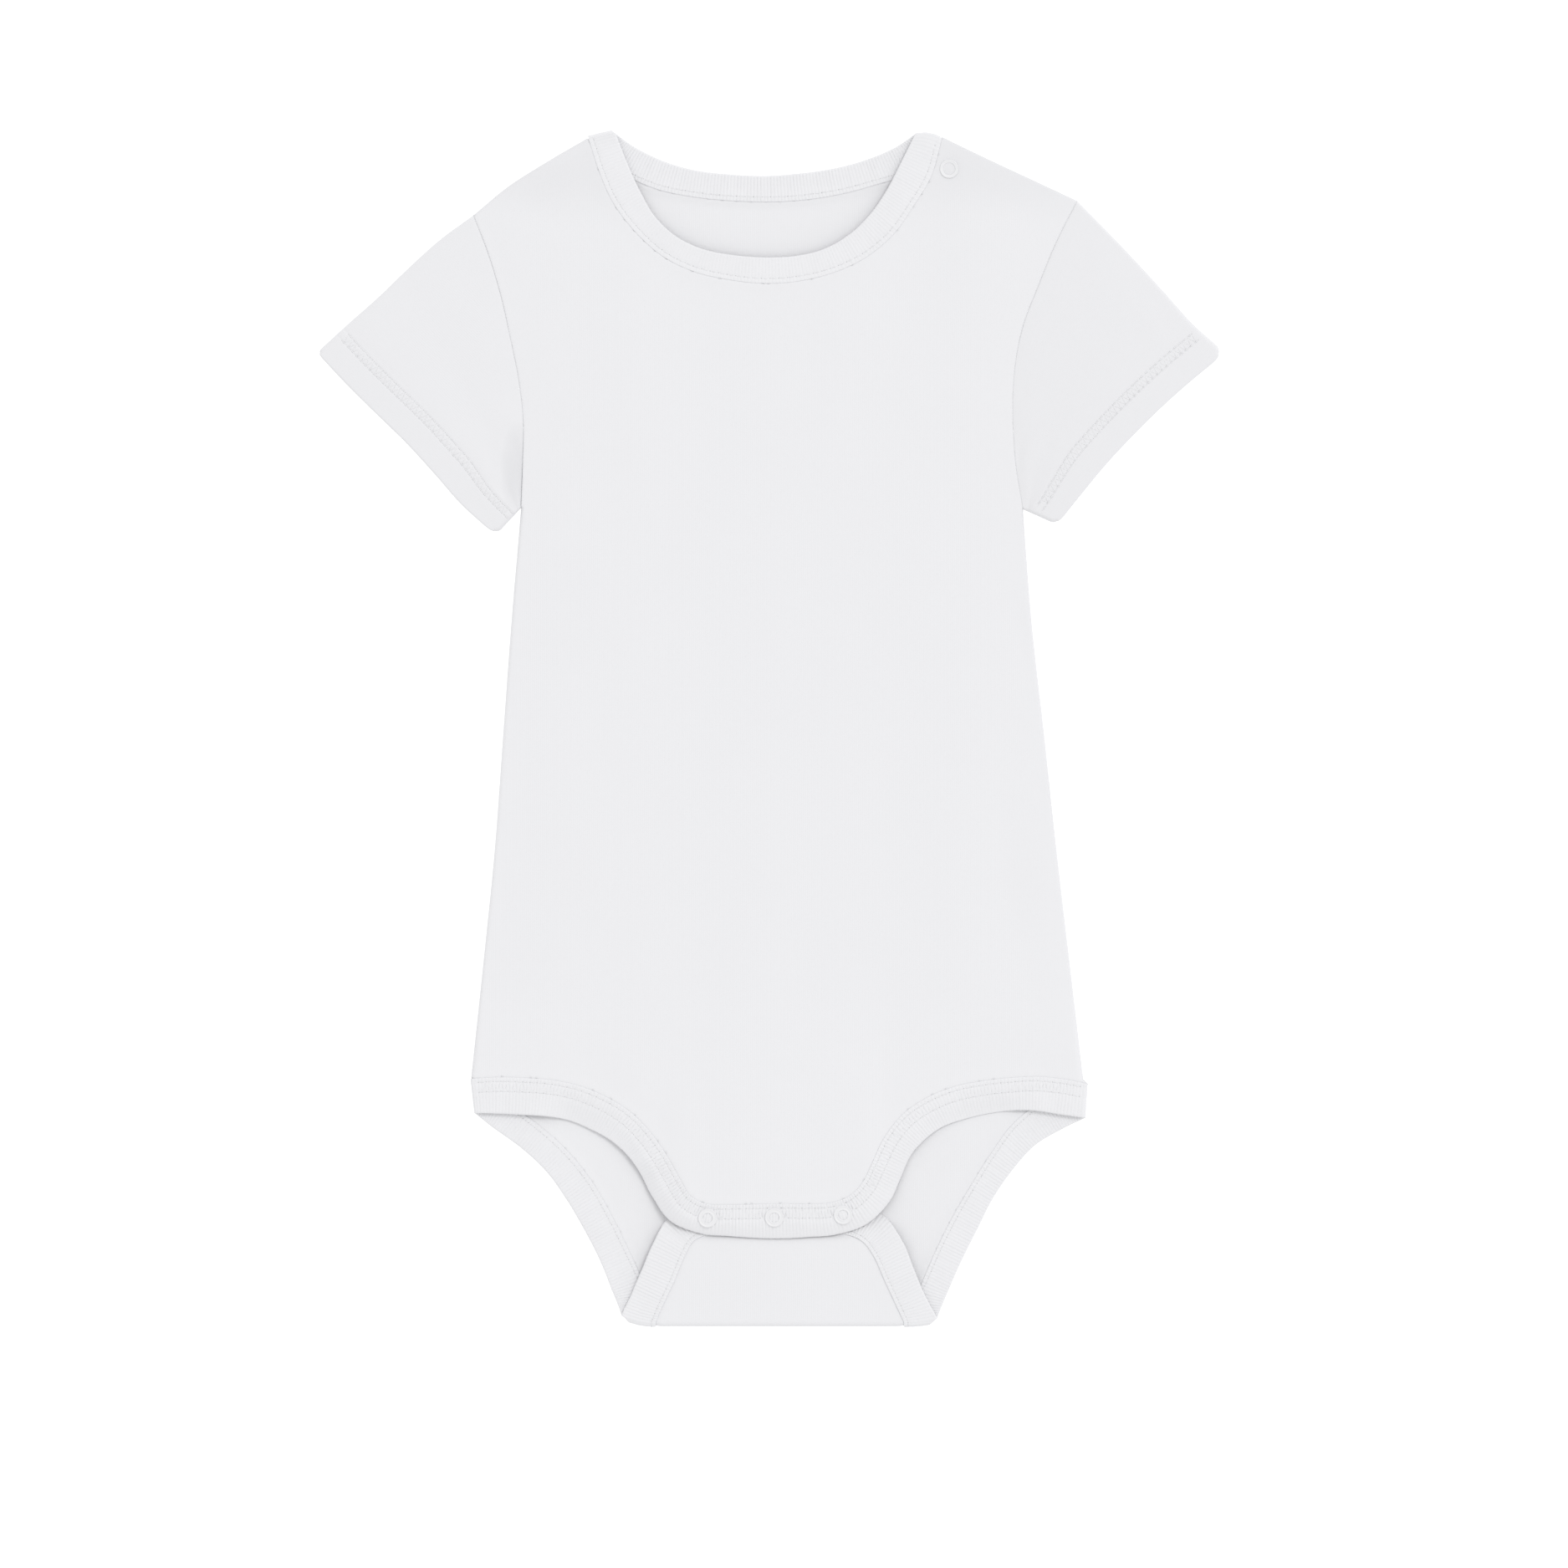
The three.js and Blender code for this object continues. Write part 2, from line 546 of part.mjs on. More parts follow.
function neckBinding() {
  const front = flatStations(NECK_FRONT, 2, frontZ, 1);
  const behind = flatStations(NECK_BACK, 2, () => RIB / 2, -1);
  const corner = NECK_FRONT[0];
  const line = [corner.ex - corner.sx, corner.ey - corner.sy];
  const size = Math.hypot(...line);
  const out = [-line[1] / size, line[0] / size];
  const top = front[0].edgeAt.z;
  const fold = foldStations([corner.ex, corner.ey], [corner.sx, corner.sy], top, RIB / 2, out, 0.8);
  return strip([...back(front), ...fold, ...behind]);
}

function frontEdgeBinding() {
  return strip(flatStations(LEG_FRONT, 2, frontZ, 1));
}

function backEdgeBinding() {
  const flat = () => RIB / 2;
  const raised = (x, y) => flapZ(y);
  const right = flatStations(LEG_BACK_R, 2, flat, -1);
  const flapRight = flatStations(FLAP_R, 2, raised, 1);
  const flapLeft = flatStations(FLAP_L, 2, raised, 1);
  const left = flatStations(back(LEG_BACK_L), 2, flat, -1);
  const [r, l] = [FLAP_R[0], FLAP_L[FLAP_L.length - 1]];
  const down = [0, -1];
  return strip([
    ...right,
    ...foldStations([r.ex, r.ey], [r.sx, r.sy], RIB / 2, FLAP_Z, down, 2.4),
    ...flapRight,
    ...flapLeft.slice(1),
    ...foldStations([l.ex, l.ey], [l.sx, l.sy], FLAP_Z, RIB / 2, down, 2.4),
    ...left,
  ]);
}

// ---- panels ------------------------------------------------------------------------------------------------------

function frontPanel() {
  const outline = chain(
    walk(back(plain(SHOULDER_R)), EDGE_STEP),
    walk(seam(NECK_FRONT), EDGE_STEP),
    walk(plain(SHOULDER_L), EDGE_STEP),
    walk(plain(ARMHOLE_L), EDGE_STEP),
    walk(plain(SIDE_L), EDGE_STEP * 1.4),
    walk(back(seam(LEG_FRONT)), EDGE_STEP),
    walk(back(plain(SIDE_R)), EDGE_STEP * 1.4),
    walk(back(plain(ARMHOLE_R)), EDGE_STEP),
  );
  const place = (x, y) => ({ at: new THREE.Vector3(x, y, frontZ(x, y)), normal: new THREE.Vector3(0, 0, 1) });
  return panel(fill(outline, FRONT_STEP), place, CLOTH, 1);
}

// The back's pattern is flat from the shoulders to the end of the flap. Below FOLD_Y it wraps round the fold and comes back.
const FOLD_R = (FLAP_Z - BACK_Z) / 2;
const flapV = (y) => FOLD_Y - Math.PI * FOLD_R - (y - FOLD_Y);

function backPlace(x, v) {
  const depth = FOLD_Y - v;
  if (depth <= 0) return { at: new THREE.Vector3(x, v, BACK_Z), normal: new THREE.Vector3(0, 0, 1) };
  const turn = depth / FOLD_R;
  if (turn < Math.PI) {
    return {
      at: new THREE.Vector3(x, FOLD_Y - FOLD_R * Math.sin(turn), BACK_Z + FOLD_R * (1 - Math.cos(turn))),
      normal: new THREE.Vector3(0, Math.sin(turn), Math.cos(turn)),
    };
  }
  const y = FOLD_Y + (depth - Math.PI * FOLD_R);
  return { at: new THREE.Vector3(x, y, flapZ(y)), normal: new THREE.Vector3(0, 0, -1) };
}

// x on a seam at a height y, for the seam's part that runs down the crotch
function seamX(rows, y) {
  const s = seam(rows);
  for (let i = 0; i < (s.length - 1) * 16; i++) {
    const [p, q] = [curveAt(s, i / 16), curveAt(s, (i + 1) / 16)];
    if ((p[1] - y) * (q[1] - y) <= 0 && p[1] !== q[1]) return mix(p[0], q[0], (y - p[1]) / (q[1] - p[1]));
  }
  return s[s.length - 1][0];
}

// part of a seam on one side of a height
const seamPart = (rows, keep) => {
  const s = walk(seam(rows), 1);
  return s.filter((p) => keep(p[1]));
};

function backPanel() {
  const cutY = -205; // the crotch strip below this height is laid out in rows
  const cells = 13;
  const cutR = [seamX(LEG_BACK_R, cutY), cutY];
  const cutL = [seamX(LEG_BACK_L, cutY), cutY];
  const upR = seamPart(LEG_BACK_R, (y) => y > cutY + 2);
  const upL = seamPart(LEG_BACK_L, (y) => y > cutY + 2);
  const cutRow = Array.from({ length: cells + 1 }, (_, i) => [mix(cutR[0], cutL[0], i / cells), cutY]);
  const outline = chain(
    walk(back(plain(SHOULDER_R)), EDGE_STEP),
    walk(seam(NECK_BACK), EDGE_STEP),
    walk(plain(SHOULDER_L), EDGE_STEP),
    walk(plain(ARMHOLE_L), EDGE_STEP * 1.4),
    walk(plain(SIDE_L), EDGE_STEP * 2),
    walk([...upL, cutL], EDGE_STEP),
    back(cutRow),
    walk([cutR, ...back(upR)], EDGE_STEP),
    walk(back(plain(SIDE_R)), EDGE_STEP * 2),
    walk(back(plain(ARMHOLE_R)), EDGE_STEP * 1.4),
  );
  const pattern = fill(outline, 45);
  // rows of the crotch strip: down the back, round the fold, up the flap
  const rows = [];
  for (const y of [-210, -215.5, -221, FOLD_Y]) rows.push({ v: y, x0: seamX(LEG_BACK_R, y), x1: seamX(LEG_BACK_L, y) });
  const [r0, l0] = [FLAP_R[0].sx, FLAP_L[FLAP_L.length - 1].sx];
  for (let i = 1; i <= 6; i++) rows.push({ v: FOLD_Y - (Math.PI * FOLD_R * i) / 6, x0: r0, x1: l0 });
  for (const y of [-220, -214, -208, -203, -199]) rows.push({ v: flapV(y), x0: seamX(FLAP_R, y), x1: seamX(FLAP_L, y) });
  const end = walk([...back(back(seamPart(FLAP_R, (y) => y > -198))), ...seamPart(FLAP_L, (y) => y > -198).slice(1)], 1);
  const key = (p) => p.map((c) => c.toFixed(3)).join();
  let before = cutRow.map((p) => pattern.pts.findIndex((q) => key(q) === key(p)));
  const layRow = (pts) => {
    const now = pts.map((p) => pattern.pts.push(p) - 1);
    for (let i = 0; i < cells; i++) {
      pattern.tris.push([before[i], now[i], now[i + 1]], [before[i], now[i + 1], before[i + 1]]);
    }
    before = now;
  };
  for (const { v, x0, x1 } of rows) layRow(Array.from({ length: cells + 1 }, (_, i) => [mix(x0, x1, i / cells), v]));
  layRow(Array.from({ length: cells + 1 }, (_, i) => {
    const p = end[Math.round(((end.length - 1) * i) / cells)];
    return [p[0], flapV(p[1])];
  }));
  return panel(pattern, backPlace, CLOTH, -1);
}

// ---- sleeves -----------------------------------------------------------------------------------------------------

const SLEEVE_CELLS = 9;
// rings from the armhole to the hem's stitches (part 0) and on to the cuff (part 1)
const SLEEVE_RINGS = [
  { part: 0, along: 0.004 },
  { part: 0, along: 0.09 },
  { part: 0, along: 0.22 },
  { part: 0, along: 0.4 },
  { part: 0, along: 0.62 },
  { part: 0, along: 0.84 },
  { part: 0, along: 1 },
  { part: 1, along: 0.12 },
  { part: 1, along: 0.5 },
  { part: 1, along: 0.93 },
  { part: 1, along: 1 },
];

function sleeve(armhole, topEdge, cuff) {
  const [A, T, C] = [plain(armhole), plain(topEdge), plain(cuff)];
  const on = (pts, w) => curveAt(pts, w * (pts.length - 1));
  const middle = on(A, 0.5);
  const hem = (w) => {
    const [p, q] = [on(C, Math.max(0, w - 0.03)), on(C, Math.min(1, w + 0.03))];
    const c = on(C, w);
    let n = [q[1] - p[1], p[0] - q[0]].map((v) => v / distance(p, q));
    if ((middle[0] - c[0]) * n[0] + (middle[1] - c[1]) * n[1] < 0) n = n.map((v) => -v);
    const size = mix(HEM_WIDTH, HEM_WIDTH * 0.78, ease(0.7, 1, w));
    const [a, b] = [on(C, 1), on(A, 1)];
    const under = ease(0.7, 1, w);
    n = n.map((v, k) => mix(v, (b[k] - a[k]) / distance(a, b), under));
    return [c[0] + n[0] * size, c[1] + n[1] * size];
  };
  const plan = (ring, w) => {
    const [a0, h0, c0] = [on(A, 0), hem(0), on(C, 0)];
    const run = distance(a0, h0) / (distance(a0, h0) + HEM_WIDTH);
    const [p, q] = ring.part ? [hem(w), on(C, w)] : [on(A, w), hem(w)];
    const [p0, q0] = ring.part ? [h0, c0] : [a0, h0];
    const t = on(T, ring.part ? mix(run, 1, ring.along) : ring.along * run);
    return [0, 1].map((k) => mix(p[k], q[k], ring.along) + (t[k] - mix(p0[k], q0[k], ring.along)) * (1 - w) ** 2);
  };
  const wallAt = (ring) => (ring.part ? mix(CLOTH, HEM_WALL, Math.min(1, ring.along / 0.12)) : CLOTH);
  const baseAt = (ring) => {
    const s = ring.part ? 1 : ease(0.5, 1, ring.along);
    return 2 * mix(CLOTH, HEM_WALL, s) + GAP;
  };
  const body = new Shell();
  const rings = SLEEVE_RINGS.map((ring) => {
    const width = distance(plan(ring, 0), plan(ring, 1));
    const s = ring.part ? 1 : ring.along;
    const wall = wallAt(ring);
    const heightAt = (w) => {
      const dw = Math.min(w, 1 - w) * width;
      const swell = 1 - (1 - Math.min(1, s / 0.5)) ** 2;
      return baseAt(ring) + (LOFT - 0.2) * swell * (1 - (1 - Math.min(1, dw / 34)) ** 2);
    };
    const loopAt = (inset, low, high) => {
      const half = (high(0) - low) / 2;
      const c = low + half;
      const pt = (w, dist, z) => {
        const ww = w === 0 ? dist / width : w === 1 ? 1 - dist / width : w;
        return new THREE.Vector3(...plan(ring, ww), z);
      };
      const loop = [];
      loop.push(pt(0, inset, c), pt(0, inset + 0.29 * half, c + 0.71 * half));
      for (let i = 0; i <= SLEEVE_CELLS; i++) {
        const w = i / SLEEVE_CELLS;
        const end = i === 0 || i === SLEEVE_CELLS;
        loop.push(pt(w, inset + half, end ? c + half : high(w)));
      }
      loop.push(pt(1, inset + 0.29 * half, c + 0.71 * half), pt(1, inset, c), pt(1, inset + 0.29 * half, c - 0.71 * half));
      for (let i = SLEEVE_CELLS; i >= 0; i--) loop.push(pt(i / SLEEVE_CELLS, inset + half, low));
      loop.push(pt(0, inset + 0.29 * half, c - 0.71 * half));
      return loop.map((p) => body.add(p));
    };
    return {
      outer: loopAt(0, 0, heightAt),
      inner: loopAt(wall, wall, (w) => heightAt(w) - wall),
    };
  });
  for (let i = 1; i < rings.length; i++) {
    body.band(rings[i - 1].outer, rings[i].outer);
    body.band(rings[i].inner, rings[i - 1].inner);
  }
  body.band(rings[0].inner, rings[0].outer);
  const last = rings[rings.length - 1];
  body.band(last.outer, last.inner);
  return body.geometry();
}

// ---- snap fasteners ----------------------------------------------------------------------------------------------

// turns a profile of radius and height round an upright axis; a profile that starts and ends on the axis is a solid
// button, one that does not is closed into a ring
const TURNS = 24;
function turned(profile, x, y, z) {
  const body = new Shell();
  const onAxis = profile[0].r === 0;
  const rings = profile.map(({ r, h }) => {
    if (r === 0) return [body.add(new THREE.Vector3(x, y, z + h))];
    return Array.from({ length: TURNS }, (_, i) => {
      const t = (i / TURNS) * 2 * Math.PI;
      return body.add(new THREE.Vector3(x + r * Math.cos(t), y + r * Math.sin(t), z + h));
    });
  });
  const count = onAxis ? rings.length - 1 : rings.length;
  for (let k = 0; k < count; k++) {
    const [a, b] = [rings[k], rings[(k + 1) % rings.length]];
    for (let i = 0; i < TURNS; i++) {
      const j = (i + 1) % TURNS;
      if (a.length === 1) body.tris.push([a[0], b[j], b[i]]);
      else if (b.length === 1) body.tris.push([a[i], a[j], b[0]]);
      else body.quad(a[i], a[j], b[j], b[i]);
    }
  }
  return body.geometry();
}

const RING = [
  { r: SNAP_HOLE_R, h: 0 },
  { r: SNAP_R - 0.3, h: 0 },
  { r: SNAP_R, h: 0.25 },
  { r: SNAP_R - 0.15, h: 0.6 },
  { r: SNAP_R - 0.7, h: 0.8 },
  { r: SNAP_HOLE_R + 0.25, h: 0.65 },
  { r: SNAP_HOLE_R, h: 0.3 },
];
const SOCKET = [
  { r: 1.75, h: 0 },
  { r: SNAP_R - 0.4, h: 0 },
  { r: SNAP_R - 0.4, h: 0.5 },
  { r: SNAP_R - 0.7, h: 0.8 },
  { r: 1.75, h: 0.8 },
];
const STUD = [
  { r: 0, h: 0 },
  { r: SNAP_R - 0.4, h: 0 },
  { r: SNAP_R - 0.5, h: 0.4 },
  { r: 1.3, h: 0.4 },
  { r: 1.2, h: 0.7 },
  { r: 1.35, h: 1.0 },
  { r: 1.1, h: 1.3 },
  { r: 0, h: 1.35 },
];

// ---- the garment -------------------------------------------------------------------------------------------------

const LOOKS = {
  jersey: { color: 0xeeeef0, roughness: 0.95, metalness: 0 },
  sleeve: { color: 0xececee, roughness: 0.95, metalness: 0 },
  rib: { color: 0xebebed, roughness: 0.97, metalness: 0 },
  enamel: { color: 0xf1f1f2, roughness: 0.4, metalness: 0 },
  metal: { color: 0xc9cacc, roughness: 0.35, metalness: 0.9 },
};

const garment = new THREE.Group();
garment.name = "baby_bodysuit";

function piece(name, geometry, look) {
  const mesh = new THREE.Mesh(geometry, new THREE.MeshStandardMaterial(LOOKS[look]));
  mesh.name = name;
  garment.add(mesh);
}

piece("front_panel", frontPanel(), "jersey");
piece("back_panel", backPanel(), "jersey");
piece("sleeve_right", sleeve(ARMHOLE_R, SLEEVE_TOP_R, CUFF_R), "sleeve");
piece("sleeve_left", sleeve(ARMHOLE_L, SLEEVE_TOP_L, CUFF_L), "sleeve");
piece("neck_binding", neckBinding(), "rib");
piece("front_edge_binding", frontEdgeBinding(), "rib");
piece("back_edge_binding", backEdgeBinding(), "rib");

function snap({ name, x, y }, stand, under, over) {
  piece(`snap_${name}_stud`, turned(STUD, x, y, stand + GAP), "metal");
  piece(`snap_${name}_socket`, turned(SOCKET, x, y, under - GAP - 0.8), "metal");
  piece(`snap_${name}_ring`, turned(RING, x, y, over + GAP), "enamel");
}
for (const s of CROTCH_SNAPS) snap(s, FLAP_END_Z + RIB / 2, PLACKET_Z - RIB / 2, PLACKET_Z + RIB / 2);
const shoulderZ = frontZ(SHOULDER_SNAP.x, SHOULDER_SNAP.y);
snap(SHOULDER_SNAP, CLOTH, shoulderZ - CLOTH / 2, shoulderZ + CLOTH / 2);

// origin at the middle of the garment's box, on the surface it lies on
garment.updateMatrixWorld(true);
const box = new THREE.Box3().setFromObject(garment);
for (const mesh of garment.children) mesh.geometry.translate(-(box.min.x + box.max.x) / 2, -(box.min.y + box.max.y) / 2, -box.min.z);

export default garment;
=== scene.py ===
# Short-sleeved baby bodysuit, laid flat with its front up. Cloth, rib strips, stitches and snap rings are rebuilt in
# fine meshes on the forms that the solid model has. Lengths below are millimetres in the pattern's own frame.
import math

import bpy
import numpy as np
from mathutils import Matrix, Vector
from mathutils.geometry import delaunay_2d_cdt
from mathutils.kdtree import KDTree


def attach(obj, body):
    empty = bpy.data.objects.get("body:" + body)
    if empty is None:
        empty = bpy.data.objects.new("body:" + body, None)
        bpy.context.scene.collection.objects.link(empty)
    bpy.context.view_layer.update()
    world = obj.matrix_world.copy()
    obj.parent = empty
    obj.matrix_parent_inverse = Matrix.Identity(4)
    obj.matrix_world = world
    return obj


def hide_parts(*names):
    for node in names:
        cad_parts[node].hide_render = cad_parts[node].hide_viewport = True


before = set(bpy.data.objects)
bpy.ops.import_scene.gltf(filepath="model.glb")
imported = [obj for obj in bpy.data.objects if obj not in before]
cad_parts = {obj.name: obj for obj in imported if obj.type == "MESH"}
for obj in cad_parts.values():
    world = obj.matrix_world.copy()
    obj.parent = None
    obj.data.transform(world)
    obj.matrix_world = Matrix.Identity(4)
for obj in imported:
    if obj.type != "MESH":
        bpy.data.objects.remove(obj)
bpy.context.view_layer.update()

MOVE = (-0.15, -0.62)  # from the pattern's frame to the model's, whose origin is the middle of the box
MM = 0.001
rng = np.random.default_rng(41)


def table(names, rows):
    return dict(zip(names.split(), np.array(rows, float).T))


# ---- sizes: bindings (ex, ey free edge; sx, sy seam), panel edges, sleeves -------------------------------------------

NECK_FRONT = table("ex ey sx sy", [
    (-58.6, 227.7, -68.8, 225.4),
    (-54.3, 216.8, -64.7, 212.6),
    (-49.4, 206.0, -59.2, 200.5),
    (-43.6, 196.0, -50.9, 189.7),
    (-35.4, 188.2, -40.6, 180.5),
    (-25.2, 183.3, -28.3, 174.5),
    (-13.7, 181.0, -15.2, 171.5),
    (-1.9, 180.1, -2.1, 170.1),
    (9.9, 180.6, 11.3, 170.9),
    (21.1, 183.3, 24.5, 174.1),
    (30.9, 188.9, 37.0, 179.9),
    (38.9, 196.7, 47.7, 188.8),
    (45.4, 206.2, 55.6, 199.9),
    (50.8, 216.7, 62.3, 211.3),
    (56.3, 227.6, 66.4, 225.8),
])
NECK_BACK = table("ex ey sx sy", [
    (-58.6, 227.7, -68.8, 225.4),
    (-50.6, 222.1, -56.7, 213.0),
    (-39.7, 216.9, -43.5, 206.5),
    (-27.6, 213.5, -29.4, 203.4),
    (-14.8, 212.0, -15.5, 201.9),
    (-1.7, 211.4, -1.7, 201.4),
    (11.2, 212.3, 12.3, 202.0),
    (24.1, 214.1, 26.1, 204.0),
    (36.5, 217.3, 39.7, 207.5),
    (47.9, 222.0, 53.4, 212.6),
    (56.3, 227.6, 66.4, 225.8),
])
LEG_FRONT = table("ex ey sx sy", [
    (-112.6, -147.4, -114.1, -134.2),
    (-103.6, -147.6, -103.4, -133.6),
    (-94.1, -148.1, -93.3, -133.9),
    (-84.8, -148.7, -82.9, -134.7),
    (-76.2, -150.3, -72.2, -137.0),
    (-68.2, -153.6, -62.0, -141.2),
    (-60.7, -157.7, -52.6, -147.1),
    (-54.3, -163.3, -44.8, -155.1),
    (-49.1, -170.5, -38.6, -163.9),
    (-44.6, -179.2, -33.8, -172.5),
    (-37.5, -188.7, -29.6, -179.0),
    (-25.9, -193.4, -23.2, -182.0),
    (-15.0, -194.4, -14.5, -182.3),
    (-5.0, -195.1, -4.8, -182.1),
    (5.0, -195.3, 4.9, -181.9),
    (15.1, -194.8, 14.5, -182.0),
    (25.8, -193.8, 23.3, -181.6),
    (37.2, -190.0, 30.6, -179.1),
    (46.1, -181.5, 35.7, -174.0),
    (50.8, -171.6, 39.6, -166.2),
    (54.6, -163.4, 44.2, -156.7),
    (60.1, -157.3, 51.4, -147.7),
    (66.8, -152.6, 60.9, -141.3),
    (74.9, -149.8, 71.2, -137.2),
    (83.7, -147.7, 81.6, -135.1),
    (92.9, -146.5, 92.0, -133.9),
    (102.0, -146.5, 102.6, -133.4),
    (111.1, -147.9, 113.0, -134.4),
    (121.3, -149.3, 122.2, -136.2),
])
LEG_BACK_R = table("ex ey sx sy", [
    (-112.6, -147.4, -114.1, -134.2),
    (-105.4, -153.1, -99.0, -144.2),
    (-94.6, -160.9, -87.6, -152.3),
    (-85.2, -169.7, -76.9, -162.0),
    (-77.7, -180.0, -67.8, -173.3),
    (-71.0, -191.3, -60.6, -185.6),
    (-64.9, -203.1, -54.3, -198.2),
    (-60.0, -215.4, -48.5, -211.0),
    (-56.3, -227.3, -43.2, -227.3),
])
LEG_BACK_L = table("ex ey sx sy", [
    (121.3, -149.3, 122.2, -136.2),
    (112.3, -153.6, 106.1, -142.1),
    (102.0, -159.8, 94.0, -151.1),
    (93.6, -169.0, 85.2, -162.8),
    (86.1, -179.8, 77.7, -174.7),
    (80.1, -191.6, 70.7, -186.7),
    (74.1, -203.6, 64.5, -199.0),
    (68.7, -215.9, 59.0, -211.5),
    (64.6, -227.3, 51.8, -227.3),
])
FLAP_R = table("ex ey sx sy", [
    (-56.3, -227.3, -43.2, -227.3),
    (-51.8, -215.0, -40.1, -220.2),
    (-48.2, -206.5, -36.1, -211.7),
    (-44.4, -197.6, -32.7, -203.4),
    (-38.6, -187.8, -29.3, -197.2),
    (-27.8, -181.8, -24.1, -194.2),
    (-16.9, -181.2, -16.5, -193.6),
    (-7.4, -181.1, -7.4, -193.6),
    (1.9, -181.1, 1.9, -193.6),
])
FLAP_L = table("ex ey sx sy", [
    (1.9, -181.1, 1.9, -193.6),
    (11.7, -181.2, 11.7, -193.6),
    (21.6, -181.2, 21.3, -193.6),
    (32.6, -181.7, 29.8, -193.9),
    (44.1, -186.7, 36.1, -196.8),
    (51.3, -196.4, 40.5, -202.6),
    (55.3, -206.1, 44.2, -210.9),
    (58.9, -214.9, 48.4, -220.0),
    (64.6, -227.3, 51.8, -227.3),
])
SHOULDER_R = table("x y", [
    (-68.8, 226.1),
    (-84.2, 217.1),
    (-99.2, 207.6),
    (-113.0, 196.3),
])
SHOULDER_L = table("x y", [
    (66.4, 226.1),
    (83.8, 217.7),
    (101.0, 209.8),
    (118.1, 201.8),
])
ARMHOLE_R = table("x y", [
    (-113.0, 196.3),
    (-107.1, 181.0),
    (-102.4, 165.3),
    (-98.9, 149.4),
    (-95.7, 133.3),
    (-93.9, 117.1),
    (-94.1, 100.7),
    (-94.7, 84.3),
])
ARMHOLE_L = table("x y", [
    (118.1, 201.8),
    (110.2, 186.1),
    (103.5, 169.9),
    (97.3, 153.4),
    (94.1, 136.2),
    (93.5, 118.6),
    (94.6, 101.0),
    (97.4, 83.7),
])
SIDE_R = table("x y", [
    (-94.7, 84.3),
    (-98.4, 40.7),
    (-101.6, -2.9),
    (-104.8, -46.5),
    (-109.2, -90.1),
    (-113.8, -133.6),
])
SIDE_L = table("x y", [
    (97.4, 83.7),
    (100.8, 39.7),
    (105.7, -4.1),
    (110.4, -47.9),
    (115.5, -91.7),
    (120.6, -135.5),
])
SLEEVE_TOP_R = table("x y", [
    (-113.0, 196.3),
    (-125.8, 186.9),
    (-137.7, 176.2),
    (-149.2, 165.1),
    (-161.1, 154.5),
    (-172.9, 143.7),
])
SLEEVE_TOP_L = table("x y", [
    (118.1, 201.8),
    (129.5, 190.3),
    (140.7, 178.6),
    (151.6, 166.7),
    (162.4, 154.7),
    (174.9, 143.6),
])
CUFF_R = table("x y", [
    (-172.9, 143.7),
    (-161.6, 131.6),
    (-150.2, 120.3),
    (-138.7, 109.1),
    (-127.8, 97.2),
    (-117.2, 85.2),
    (-104.4, 73.7),
])
CUFF_L = table("x y", [
    (174.9, 143.6),
    (161.5, 132.6),
    (150.3, 122.6),
    (139.6, 112.0),
    (129.4, 101.1),
    (119.8, 89.5),
    (110.4, 77.8),
])

CLOTH = 1.0  # wall of the body cloth in the solid model
RIB = 1.8
GAP = 0.3
HEM_WALL = 1.5
HEM_WIDTH = 14.2
SEAM_Z, LOFT, LOFT_REACH, HIP_LIFT = 1.8, 1.6, 60.0, 1.3
PLACKET_Z, PLACKET_X = 6.1, 2.0
FOLD_Y, FLAP_Z, FLAP_END_Z, BACK_Z = -227.3, 3.0, 2.2, 0.5
FOLD_R = (FLAP_Z - BACK_Z) / 2
SNAP_R, SNAP_HOLE_R = 3.6, 1.9
CROTCH_SNAPS = np.array([(-23.3, -187.4), (2.2, -187.2), (28.5, -186.2)])
SHOULDER_SNAP = (69.1, 213.9)
# places where the front lies on thicker layers
NECK_CORNERS = table("x y z flat reach sewn", [
    (-59.5, 219.4, 3.05, 16, 42, 1),
    (61.8, 217.1, 3.6, 17, 44, 0),
])

# Soft creases of the front, each a trough (depth above 0) or a ridge along a line from x0, y0 to x1, y1
FRONT_CREASES = table("x0 y0 x1 y1 width depth", [
    (91.5, -20.0, 103.0, -108.0, 7.5, 0.42),
    (97.5, 50.0, 82.0, 18.0, 9.0, 0.28),
    (106.5, -34.0, 113.0, -112.0, 6.0, -0.22),
    (-96.0, 8.0, -100.5, -62.0, 7.0, 0.16),
    (-104.0, 211.0, -72.0, 196.0, 11.0, 0.34),
    (72.0, 208.0, 112.0, 190.0, 12.0, 0.42),
    (88.0, 188.0, 84.0, 140.0, 13.0, -0.2),
    (-84.0, 120.0, -80.0, 76.0, 12.0, 0.14),
    (84.0, 108.0, 87.0, 66.0, 11.0, 0.16),
    (-34.0, -120.0, -22.0, -168.0, 12.0, 0.2),
    (40.0, -126.0, 25.0, -170.0, 13.0, 0.18),
    (-70.0, -118.0, -44.0, -140.0, 8.0, -0.16),
    (74.0, -112.0, 50.0, -138.0, 8.5, -0.14),
    (-12.0, 150.0, 10.0, 120.0, 22.0, 0.12),
    (-40.0, 40.0, 30.0, 22.0, 26.0, 0.12),
    (10.0, -40.0, 66.0, -62.0, 22.0, 0.12),
])
BACK_CREASES = table("x0 y0 x1 y1 width depth", [
    (-70.0, -150.0, -50.0, -186.0, 7.0, -0.22),
    (78.0, -150.0, 62.0, -184.0, 6.5, -0.2),
    (-30.0, 196.0, 26.0, 194.0, 8.0, -0.14),
    (36.0, 198.0, 20.0, 184.0, 6.0, 0.12),
])
